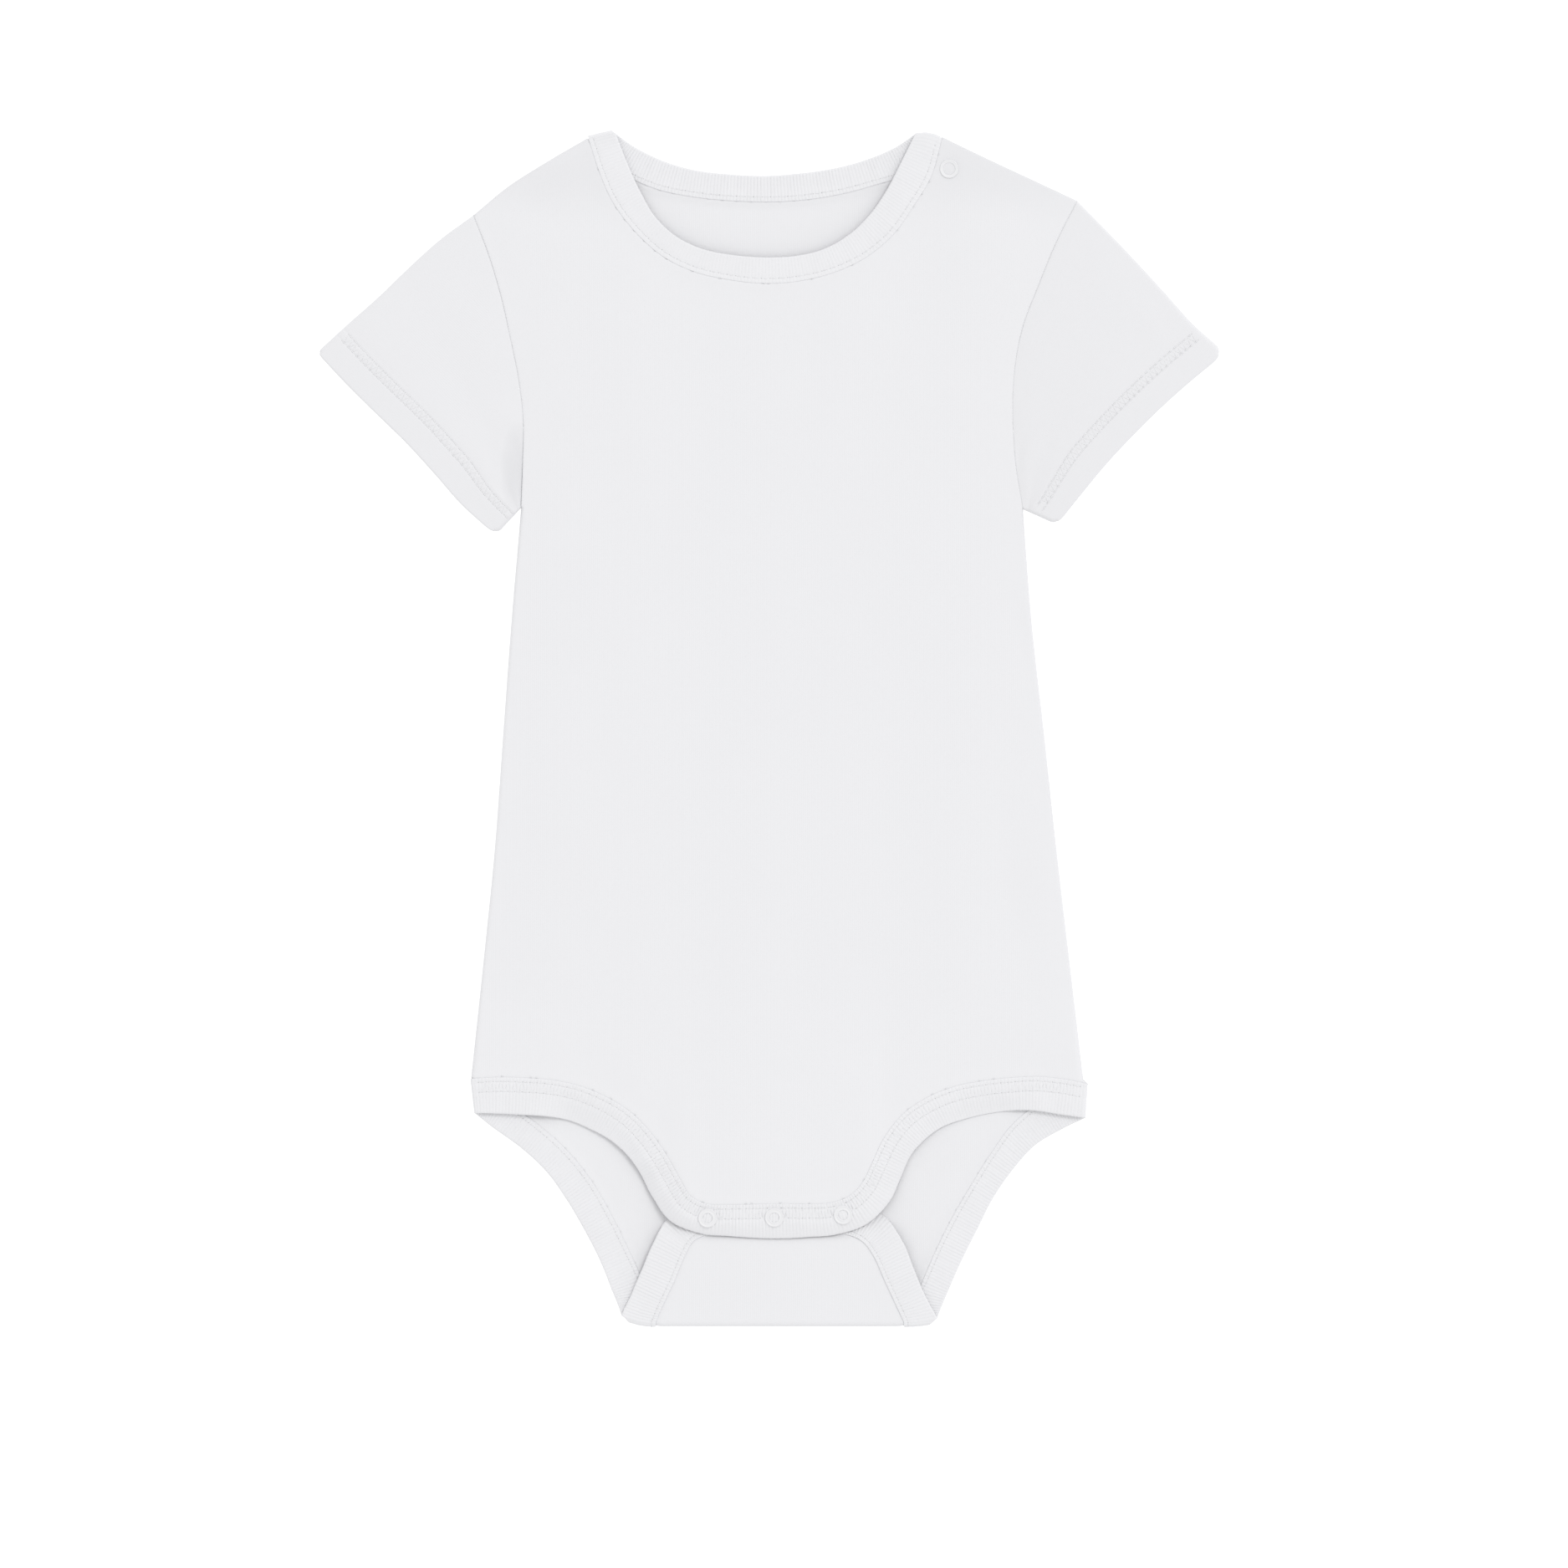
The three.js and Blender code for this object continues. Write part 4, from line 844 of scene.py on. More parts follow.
class Strip:
    """A rib strip folded over an edge. seam_at, edge_at: its two long edges; up: the way its outer face looks."""

    def __init__(self, seam_at, edge_at, up, rows, ends=(1.2, 1.2), lift=None, puff=()):
        mid = (seam_at + edge_at) / 2
        s = run_of(mid)
        step = RIB_PITCH / RIB_STEPS
        n = int(s[-1] / step)
        at = np.linspace(0, s[-1], n + 1)
        self.s = at
        take = lambda v: np.stack([np.interp(at, s, v[:, k]) for k in range(3)], 1)
        self.seam, self.edge, self.up = take(seam_at), take(edge_at), unit(take(up))
        across = self.edge - self.seam
        self.width = np.linalg.norm(across, axis=1)
        self.across = across / self.width[:, None]
        self.rows = rows  # rows of stitches: distance from the seam, pitch, outer face only (1) or both (0)
        self.ends = ends
        self.puff = puff
        self.droop = np.zeros(n + 1)
        self.droop_from = (0.3, 1.15)
        self.relief = np.ones(n + 1)  # how strongly the wales show
        self.slim = np.zeros(n + 1)  # how much flatter the strip is pressed at its free edge
        self.cap = (0.0, 0.0)  # how far the middle of each end stands out past its corners
        # the wales differ a little in height; a slight unevenness along the strip is worked out but not used
        wales = int(s[-1] / RIB_PITCH) + 2
        tall = 1 + 0.16 * rng.standard_normal(wales)
        k = np.arange(n + 1)
        self.wale = WALE[k % RIB_STEPS] * np.clip(tall[k // RIB_STEPS], 0.6, 1.35)
        self.wave = 0.05 * np.sin(at / 9.3 + 1.0) + 0.04 * np.sin(at / 4.1) + 0.02 * np.sin(at / 2.3 + 2.0)

    def face(self, a, side):
        """offset of a face from its even height, at the distance a from the seam"""
        out = RIB_HEIGHT * self.relief * (self.wale - 0.72)
        for row, pitch, _ in self.rows:
            g = np.exp(-(((a - row) / 0.42) ** 2))
            phase = np.cos(2 * np.pi * self.s / pitch)
            out = out * (1 - 0.6 * g) - g * (0.13 + 0.05 * phase)
        return out

    def point(self, i, a, b):
        return self.seam[i] + self.across[i] * a + self.up[i] * b

    def build(self, name, slot="rib"):
        n = len(self.s)
        W = self.width
        outer = [0.0, 0.05, 0.16, 0.4, 0.9] + sorted({r + d for r, _, _ in self.rows for d in (-0.4, 0, 0.4)} | {3.4, 6.6, 8.2})
        outer = [a for a in outer if a < W.min() - 1.9]
        nose = [1.0, 0.62, 0.34, 0.14, 0.03]
        under = [a for a in outer if a in (0.0, 0.05, 0.16, 0.4) or a in {r for r, _, _ in self.rows}] + [6.6]
        under = sorted(a for a in set(under) if a < W.min() - 1.9)
        half = RIB / 2
        from_end = np.minimum(self.s / self.ends[0] if self.ends[0] else 9, (self.s[-1] - self.s) / self.ends[1] if self.ends[1] else 9)
        thin = 0.25 + 0.75 * round_off(from_end)
        section = []  # (a array, b array)

        def height(a_from_seam, from_nose):
            h = half * np.ones(n)
            h *= 0.84 + 0.16 * round_off(a_from_seam / 0.42)
            return h * round_off(from_nose / 0.62)

        def bulge(a, side):
            out = np.zeros(n)
            for px, py, size in self.puff:
                p = self.seam + self.across * np.asarray(a).reshape(-1, 1)
                r = np.hypot(p[:, 0] - px, p[:, 1] - py)
                out += size * (0.34 * np.exp(-((r / 1.15) ** 2)) - 0.16 * np.exp(-(((r - 3.9) / 1.1) ** 2)))
            return out if side > 0 else 0

        for a in outer:
            fade = round_off(np.full(n, a) / 0.5)
            section.append((np.full(n, a), (height(np.full(n, a), W - a) + self.face(a, 1) * fade + bulge(np.full(n, a), 1)) * thin, 1))
        for g in nose:
            section.append((W - g, (height(W - g, np.full(n, g)) + self.face(99, 1) * (0.5 + 0.5 * min(1, g / 0.9))) * thin, 1))
        section.append((W + RIB_HEIGHT * (self.wale - 0.9), np.zeros(n), 0))
        for g in reversed(nose):
            section.append((W - g, -(height(W - g, np.full(n, g)) + self.face(99, -1) * (0.5 + 0.5 * min(1, g / 0.9))) * thin, -1))
        for a in reversed(under):
            fade = round_off(np.full(n, a) / 0.5)
            section.append((np.full(n, a), -(height(np.full(n, a), W - a) + self.face(a, -1) * fade) * thin, -1))
        inner = 0.42
        for a, b in ((0.03, -inner), (2.6, -inner), (W - 1.0, -inner), (W - 0.62, 0), (W - 1.0, inner), (2.6, inner), (0.03, inner)):
            section.append((np.broadcast_to(a, n).astype(float), np.broadcast_to(b, n) * thin, 0))
        m = len(section)
        verts = np.empty((n, m, 3))
        for k, (a, b, _) in enumerate(section):
            b = b * (1 - self.slim * ease(0.62, 0.95, a / W))
            verts[:, k] = self.seam + self.across * a[:, None] + self.up * b[:, None]
            verts[:, k] += np.array([0, 0, 1.0]) * (self.sink * (1 - thin) - self.droop * ease(*self.droop_from, a / W))[:, None]
        for end, size in enumerate(self.cap):
            if size:
                gap = self.s if end == 0 else self.s[-1] - self.s
                way = unit((self.seam + self.edge)[[0, -1]] - (self.seam + self.edge)[[8, -9]])[end]
                for k, (a, _, _) in enumerate(section):
                    verts[:, k] += way * (size * np.sin(np.pi * np.clip(a / W, 0, 1)) * ease(9, 0, gap))[:, None]
        i = np.arange(n - 1)[:, None]
        k = np.arange(m)[None]
        k2 = (k + 1) % m
        quads = np.stack([i * m + k, i * m + k2, (i + 1) * m + k2, (i + 1) * m + k], 2).reshape(-1, 4)
        verts = verts.reshape(-1, 3)
        tri = np.vstack([quads[:, :3], quads[:, [0, 2, 3]]])
        if not outward(verts - verts.mean(0), tri):
            quads = quads[:, ::-1]
            lids = [list(range(m)), list(range((n - 1) * m, n * m))[::-1]]
        else:
            lids = [list(range(m))[::-1], list(range((n - 1) * m, n * m))]
        verts[:, 2] = np.maximum(verts[:, 2], 0.0)
        self.obj = make(name, verts, [quads, *lids], RIB_MAT)
        return self.obj

    sink = 0.0  # how far the two ends close towards one face, where they are sewn to their neighbour

    def beats(self, pitch, shift=0.5, first=2.0, last=2.0):
        return np.arange(math.ceil(first / pitch) * pitch + shift * pitch, self.s[-1] - last, pitch)

    def spot(self, centres, row, side, proud):
        """points on a face at the distance row from the seam, and the way the face looks"""
        i = np.clip(np.searchsorted(self.s, centres), 1, len(self.s) - 2)
        at = self.seam[i] + self.across[i] * row + self.up[i] * ((RIB / 2 - 0.10 + proud) * side)
        at[:, 2] -= (self.droop * ease(*self.droop_from, row / self.width))[i]
        return at, self.up[i] * side

    def sew(self, row, pitch, side, length=0.7, proud=0.06):
        """stitches along a row, on the outer (1) or inner (-1) face"""
        centres = self.beats(pitch)
        at, up = self.spot(centres, row, side, proud)
        ahead = self.spot(centres + 0.7, row, side, proud)[0] - self.spot(centres - 0.7, row, side, proud)[0]
        return at, unit(ahead), up, np.linalg.norm(ahead, axis=1) / 1.4 * pitch * length

    def cross(self, row_a, row_b, pitch, side, proud=0.05):
        """the cover thread that runs to and fro between two rows"""
        a, b = self.beats(pitch, 0.0), self.beats(pitch, 0.5)
        n = min(len(a), len(b)) - 1
        pa, ua = self.spot(a, row_a, side, proud)
        pb, _ = self.spot(b, row_b, side, proud)
        ends = [(pa[:n], pb[:n]), (pb[:n], pa[1:n + 1])]
        return [((p + q) / 2, unit(q - p), ua[:n], np.linalg.norm(q - p, axis=1) * 0.96) for p, q in ends]

    def holes(self, row, pitch, side):
        return self.spot(self.beats(pitch, 0.0), row, side, -0.03)


def flat_run(rows, height, facing):
    t = np.linspace(0, len(rows["ex"]) - 1, (len(rows["ex"]) - 1) * 12 + 1)
    e, s = curve_at(edge(rows), t), curve_at(seam(rows), t)
    m = (e + s) / 2
    z = height(m[:, 0], m[:, 1])
    up = np.tile([0.0, 0.0, float(facing)], (len(t), 1))
    return np.column_stack([s, z]), np.column_stack([e, z]), up


def fold_run(edge_pt, seam_pt, z0, z1, out, pinch):
    """round a fold from height z0 to z1, bulging towards out"""
    r, mid = abs(z1 - z0) / 2, (z0 + z1) / 2
    inwards = unit(np.array([seam_pt[0] - edge_pt[0], seam_pt[1] - edge_pt[1], 0.0]))
    t = np.linspace(0, np.pi, 26)[1:-1]
    sg = np.sign(z0 - z1)
    rise = np.stack([out[0] * r * np.sin(t), out[1] * r * np.sin(t), mid + (z0 - z1) / 2 * np.cos(t)], 1)
    up = np.stack([out[0] * np.sin(t), out[1] * np.sin(t), sg * np.cos(t)], 1)
    e = np.array([*edge_pt, 0.0]) + rise + inwards * (pinch * np.sin(t))[:, None]
    s = np.array([*seam_pt, 0.0]) + rise
    return s, e, up


def join(*runs):
    return [np.vstack([r[k] for r in runs]) for k in range(3)]


def reverse(run):
    return [v[::-1] for v in run]


flat_back = lambda x, y: np.full_like(x, RIB / 2)
flap_at = lambda x, y: flap_z(y)


# ---- camera: straight down, as in the photo, one frame 600 mm wide -------------------------------------------------------

cam_data = bpy.data.cameras.new("camera")
cam_data.sensor_width = 36
cam_data.lens = 250
cam = bpy.data.objects.new("camera", cam_data)
bpy.context.scene.collection.objects.link(cam)
cam.location = (0.00577, -0.02206, 0.003 + 0.6 * 250 / 36)
bpy.context.scene.camera = cam


# ---- strips ------------------------------------------------------------------------------------------------------------

def laid(rows, height, facing):
    """a strip lying on the layer below: its seam at that layer's height, its middle as high as in the solid model"""
    s, e, _ = flat_run(rows, height, facing)
    zs = height(s[:, 0], s[:, 1])
    zm = s[:, 2].copy()
    s[:, 2] = zs
    e[:, 2] = 2 * zm - zs
    across = unit(e - s)
    along = unit(np.gradient((s + e) / 2, axis=0))
    up = unit(np.cross(across, along))
    up *= np.sign(up[:, 2:3]) * facing
    return s, e, up


neck_front = laid(NECK_FRONT, front_z, 1)
neck_back = laid(NECK_BACK, flat_back, -1)
c = {k: v[0] for k, v in NECK_FRONT.items()}
line = np.array([c["ex"] - c["sx"], c["ey"] - c["sy"]])
out = (-line[1] / np.linalg.norm(line), line[0] / np.linalg.norm(line))
neck_fold = fold_run((c["ex"], c["ey"]), (c["sx"], c["sy"]), float(neck_front[0][0, 2]), RIB / 2, out, 0.8)
neck = Strip(*join(reverse(neck_front), neck_fold, neck_back), rows=[(1.9, 3.2, 0)], ends=(1.3, 1.3))
neck.cap = (1.2, 0.6)
front_part = ease(0, 6, np.interp(neck.s, neck.s, neck.up[:, 2]) * 3 + 3)
neck.relief = 1.5 - 0.85 * front_part
neck_obj = neck.build("rib_neck")
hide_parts("neck_binding")

puffs = [(x, y, 1.0) for x, y in CROTCH_SNAPS]
LEG_ROWS = [(1.6, 2.7, 0), (5.4, 2.7, 0)]
front_edge = Strip(*laid(LEG_FRONT, front_z, 1), rows=LEG_ROWS, ends=(1.3, 1.3), puff=puffs)
front_edge.sink = -0.8
m = (front_edge.seam + front_edge.edge) / 2
over = ease(-95, -176, m[:, 1]) * (1 - ease(38, 82, np.abs(m[:, 0] - PLACKET_X)))
inner_leg = np.where(m[:, 0] < 0, ease(-90, -74, m[:, 0]), ease(104, 86, m[:, 0]))
front_edge.droop_from = (0.72 * over, 1.1)
front_edge.droop = 1.3 * over + np.where(m[:, 0] < 0, 1.25, 1.7) * (1 - over) * inner_leg
front_edge.slim = 0.62 * np.maximum(over, (1 - over) * inner_leg)
front_edge.droop = front_edge.droop + 0.85 * front_edge.slim
front_edge.relief = 0.9 + 0.35 * over
front_edge_obj = front_edge.build("rib_front_edge")
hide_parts("front_edge_binding")

down = (0.0, -1.0)
r, l = {k: v[0] for k, v in FLAP_R.items()}, {k: v[-1] for k, v in FLAP_L.items()}
leg_r, leg_l = laid(LEG_BACK_R, flat_back, -1), laid(LEG_BACK_L, flat_back, -1)
flap_r, flap_l = laid(FLAP_R, flap_at, 1), laid(FLAP_L, flap_at, 1)
fold_r = fold_run((r["ex"], r["ey"]), (r["sx"], r["sy"]), RIB / 2, FLAP_Z, down, 2.4)
fold_l = fold_run((l["ex"], l["ey"]), (l["sx"], l["sy"]), FLAP_Z, RIB / 2, down, 2.4)
back_edge = Strip(
    *join(leg_r, fold_r, flap_r, [v[1:] for v in flap_l], fold_l, reverse(leg_l)), rows=[(1.6, 2.9, 0)], ends=(1.3, 1.3)
)
back_edge.sink = 0.8
back_edge_obj = back_edge.build("rib_back_edge")
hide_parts("back_edge_binding")


# ---- front and back panels ---------------------------------------------------------------------------------------------

def tucked(rows, deep=1.5):
    """the seam moved into the strip, less so at both ends"""
    s, e = walk(seam(rows), 1.0), None
    t = np.linspace(0, len(rows["sx"]) - 1, 400)
    sp, ep = curve_at(seam(rows), t), curve_at(edge(rows), t)
    run = run_of(sp)
    d = deep * np.clip(np.minimum(run, run[-1] - run) / 3.5, 0, 1)
    p = sp + unit(ep - sp) * d[:, None]
    return resample(p, 1.0)


def chain(*curves):
    return np.vstack([c[:-1] for c in curves])


def near_along(pts, line):
    """distance to a line, and how far along the line the nearest point is"""
    dense = resample(line, 0.25)
    tree = tree_of(dense)
    found = [tree.find((p[0], p[1], 0)) for p in pts]
    return np.array([f[2] for f in found]), np.array([f[1] for f in found]) * 0.25


neck_s, leg_s = walk(seam(NECK_FRONT), 1.0), walk(seam(LEG_FRONT), 1.0)
sh_r, sh_l = walk(plain(SHOULDER_R), 1.0), walk(plain(SHOULDER_L), 1.0)
arm_r, arm_l = walk(plain(ARMHOLE_R), 1.0), walk(plain(ARMHOLE_L), 1.0)
side_r, side_l = walk(plain(SIDE_R), 1.0), walk(plain(SIDE_L), 1.0)


def pucker(d, s, pitch=3.9, reach=2.6):
    """small waves that the stitches draw into the cloth beside a seam"""
    wave = np.sin(2 * np.pi * s / pitch + 1.7 * np.sin(s / 11.3)) * (0.6 + 0.4 * np.sin(s / 7.7))
    return 0.045 * wave * np.exp(-((d / reach) ** 2))


def rings_round(x, y, radii):
    out = [np.array([[x, y]])]
    for k, r in enumerate(radii):
        n = max(8, int(2 * np.pi * r / 0.6))
        a = np.arange(n) * 2 * np.pi / n + 0.3 * k
        out.append(np.stack([x + r * np.cos(a), y + r * np.sin(a)], 1))
    return np.vstack(out)


outline = chain(sh_r[::-1], tucked(NECK_FRONT), sh_l, arm_l, side_l, tucked(LEG_FRONT)[::-1], side_r[::-1], arm_r[::-1])
bare = chain(sh_r[::-1], neck_s, sh_l, arm_l, side_l, leg_s[::-1], side_r[::-1], arm_r[::-1])
snap_x, snap_y = SHOULDER_SNAP
spacing = 2.1
pts, tris, rim = fill(
    outline, [neck_s, leg_s], [sh_r, sh_l, arm_r, arm_l, side_r, side_l], spacing,
    extra=[rings_round(snap_x, snap_y, (0.6, 1.2, 1.8, 2.5, 3.1, 3.6, 4.2, 5.0, 5.9))],
    skip=lambda p: np.hypot(p[:, 0] - snap_x, p[:, 1] - snap_y) < 6.6,
)
x, y = pts.T
mid = front_z(x, y)
d_neck, s_neck = near_along(pts, neck_s)
d_leg, s_leg = near_along(pts, leg_s)
d_bind, s_bind = np.minimum(d_neck, d_leg), np.where(d_neck < d_leg, s_neck, s_leg)
d_sew = np.minimum(np.minimum(near_to(pts, resample(side_r, 0.25)), near_to(pts, resample(side_l, 0.25))), near_to(pts, resample(sh_r, 0.25)))
d_loose = near_to(pts, resample(sh_l, 0.25))
d_arm_r, s_arm_r = near_along(pts, arm_r)
d_arm_l, s_arm_l = near_along(pts, arm_l)
d_arm, s_arm = np.minimum(d_arm_r, d_arm_l), np.where(d_arm_r < d_arm_l, s_arm_r, s_arm_l)
in_strip = ~inside(pts, bare) & (d_bind < 2.2) & (d_bind < np.minimum(np.minimum(d_sew, d_arm), d_loose) + 1.6)
in_strip &= d_bind > 0.1
calm = ease(0, 9, d_bind) * ease(0, 5, d_sew) * ease(0, 3, d_arm)
soft = (creases(FRONT_CREASES, x, y) + rumple(x, y)) * calm
r_snap = np.hypot(x - snap_x, y - snap_y)
soft += 0.16 * np.exp(-((r_snap / 1.7) ** 2)) - 0.14 * np.exp(-(((r_snap - 4.0) / 1.2) ** 2))
top = mid + 0.5 + soft
top += (0.24 * np.exp(-((d_bind / 3.2) ** 2)) - 0.10 * np.exp(-((d_bind / 0.4) ** 2))) * (d_bind < 9)
top += pucker(d_bind, s_bind) + pucker(d_arm, s_arm, 5.3, 2.2) * 0.7
plain_seam = np.where(d_arm_l < d_arm_r, ease(160, 136, y), 0.55 * ease(132, 110, y))  # the armholes' lower halves are sewn flatter
top -= 0.22 * (1 - 0.85 * plain_seam) * (1 - round_off(d_arm / 1.1))
low = top - 0.8
low = np.where(in_strip, mid - 0.36, np.minimum(low + 0, mix(mid - 0.36, low, ease(0, 1.2, d_bind))))
top = np.where(in_strip, mid + 0.36, top)
low = np.minimum(low, top - 0.1)
lift = np.maximum(0, mid - SEAM_Z)
join_z = mix(mid - 0.5, 1.1 + 0.5 * lift, ease(0, 6, d_leg))
reach = 0.9 + 0.9 * lift
q = round_off(d_sew / reach)
top = join_z + 0.01 + (top - join_z - 0.01) * q
low = join_z - 0.01 + (low - join_z + 0.01) * q
q = round_off(d_loose / 0.5)
centre = (top + low) / 2
top, low = centre + (top - centre) * (0.1 + 0.9 * q), centre + (low - centre) * (0.1 + 0.9 * q)
front_obj = shell("cloth_front", tris, np.column_stack([x, y, top]), np.column_stack([x, y, low]), FRONT)
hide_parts("front_panel")

# the back's pattern runs on below the fold: v there counts down round it and up the flap
def flap_v(yy):
    return FOLD_Y - math.pi * FOLD_R - (yy - FOLD_Y)


def back_place(xx, v):
    depth = FOLD_Y - v
    turn = np.clip(depth / FOLD_R, 0, math.pi)
    yy = np.where(depth <= 0, v, np.where(turn < math.pi, FOLD_Y - FOLD_R * np.sin(turn), FOLD_Y + depth - math.pi * FOLD_R))
    z = np.where(turn < math.pi, BACK_Z + FOLD_R * (1 - np.cos(turn)), flap_z(yy))
    at = np.stack([xx, yy, z], 1)
    normal = np.stack([np.zeros_like(xx), np.sin(turn), np.cos(turn)], 1)
    return at, normal, turn


def unroll(line):
    return np.stack([line[:, 0], flap_v(line[:, 1])], 1)


nb_s, nb_t = walk(seam(NECK_BACK), 1.0), tucked(NECK_BACK)


def long_tuck(parts, deep=1.5):
    """like tucked, for a seam made of several curves, given with their strips' directions"""
    s = np.vstack([p[0] for p in parts])
    d = np.vstack([unit(p[1] - p[0]) for p in parts])
    run = run_of(s)
    depth = deep * np.clip(np.minimum(run, run[-1] - run) / 3.5, 0, 1)
    return resample(s, 1.0), resample(s + d * depth[:, None], 1.0)


def seam_pair(rows, flip=False, mirror=False):
    t = np.linspace(0, len(rows["sx"]) - 1, 200)
    s, e = curve_at(seam(rows), t), curve_at(edge(rows), t)
    if mirror:
        s, e = unroll(s), unroll(e)
    return (s[::-1], e[::-1]) if flip else (s, e)


# left leg down to the fold, up the flap's left side, across its end, down its right side, up the right leg
parts = [seam_pair(LEG_BACK_L), seam_pair(FLAP_L, flip=True, mirror=True), seam_pair(FLAP_R, flip=True, mirror=True), seam_pair(LEG_BACK_R, flip=True)]
low_s, low_t = long_tuck(parts)
b_outline = chain(sh_r[::-1], nb_t, sh_l, arm_l, side_l, low_t, side_r[::-1], arm_r[::-1])
b_bare = chain(sh_r[::-1], nb_s, sh_l, arm_l, side_l, low_s, side_r[::-1], arm_r[::-1])
turn_rows = np.arange(FOLD_Y + 0.9, FOLD_Y - math.pi * FOLD_R - 0.9, -0.36)
band = np.vstack([np.stack([np.arange(-43.5 + (k % 2) * 0.9, 52, 1.8), np.full(len(np.arange(-43.5 + (k % 2) * 0.9, 52, 1.8)), v)], 1) for k, v in enumerate(turn_rows)])
pts, tris, rim = fill(
    b_outline, [nb_s, low_s], [sh_r, sh_l, arm_r, arm_l, side_r, side_l], 2.6, extra=[band],
    skip=lambda p: (p[:, 1] < FOLD_Y + 1.6) & (p[:, 1] > FOLD_Y - math.pi * FOLD_R - 1.6),
)
x, v = pts.T
at, normal, turn = back_place(x, v)
d_neck, s_neck = near_along(pts, nb_s)
d_low, s_low = near_along(pts, low_s)
d_bind, s_bind = np.minimum(d_neck, d_low), np.where(d_neck < d_low, s_neck, s_low)
d_sew = np.minimum(np.minimum(near_to(pts, resample(side_r, 0.25)), near_to(pts, resample(side_l, 0.25))), near_to(pts, resample(sh_r, 0.25)))
d_loose = near_to(pts, resample(sh_l, 0.25))
in_strip = ~inside(pts, b_bare) & (d_bind < 2.2) & (d_bind < np.minimum(d_sew, d_loose) + 1.6)
in_strip &= d_bind > 0.1
flat_part = 1 - turn / math.pi
shift = 0.4 * flat_part * (1 - ease(0, 3.2, d_bind)) * ease(0, 3, d_sew)
shift = np.where(in_strip, 0.4 * flat_part, shift)
inner = 0.42 + (creases(BACK_CREASES, x, v) + 0.6 * rumple(x, v)) * ease(0, 8, d_bind) * ease(0, 8, d_sew) * flat_part
inner = inner + 0.1 * flat_part * np.exp(-((d_bind / 3.2) ** 2)) - 0.1 * np.exp(-((d_bind / 0.45) ** 2)) + pucker(d_bind, s_bind) * 0.8
outer_face = np.full_like(inner, -0.5)
lid = 1 - flat_part
outer_face -= lid * ((0.5 * rumple(x * 1.3, v) + creases(BACK_CREASES, x * 0, v * 0)) * ease(0, 8, d_bind) + pucker(d_bind, s_bind))
inner = np.where(in_strip, 0.36, mix(0.56, inner, ease(0, 1.2, d_bind)))
outer_face = np.where(in_strip, -0.36, mix(-0.4, outer_face, ease(0, 1.6, d_bind)))
up_face = at + normal * (shift + inner)[:, None]
down_face = at + normal * (shift + outer_face)[:, None]
edge_mid = front_z(x, v)
lift = np.maximum(0, edge_mid - SEAM_Z) * (d_sew < 12)
join_z = mix(1.3, 1.06 + 0.5 * lift, ease(0, 6, d_low))
q = np.where(turn > 0, 1.0, round_off(d_sew / (1.3 + 0.9 * lift)))
up_face[:, 2] = join_z - 0.01 + (up_face[:, 2] - join_z + 0.01) * q
down_face[:, 2] = join_z - 0.03 + (down_face[:, 2] - join_z + 0.03) * q
q = np.where(turn > 0, 1.0, round_off(d_loose / 0.5))
cz = (up_face[:, 2] + down_face[:, 2]) / 2
up_face[:, 2] = cz + (up_face[:, 2] - cz) * (0.1 + 0.9 * q)
down_face[:, 2] = cz + (down_face[:, 2] - cz) * (0.1 + 0.9 * q)
up_face[:, 2] = np.maximum(up_face[:, 2], 0.05)
down_face[:, 2] = np.maximum(down_face[:, 2], 0.0)
back_obj = shell("cloth_back", tris, up_face, down_face, JERSEY)
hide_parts("back_panel")


# ---- sleeves -----------------------------------------------------------------------------------------------------------

HEM_ROWS = (13.6, 10.2)  # rows of stitches, from the hem's edge
HEM_PITCH = 2.4


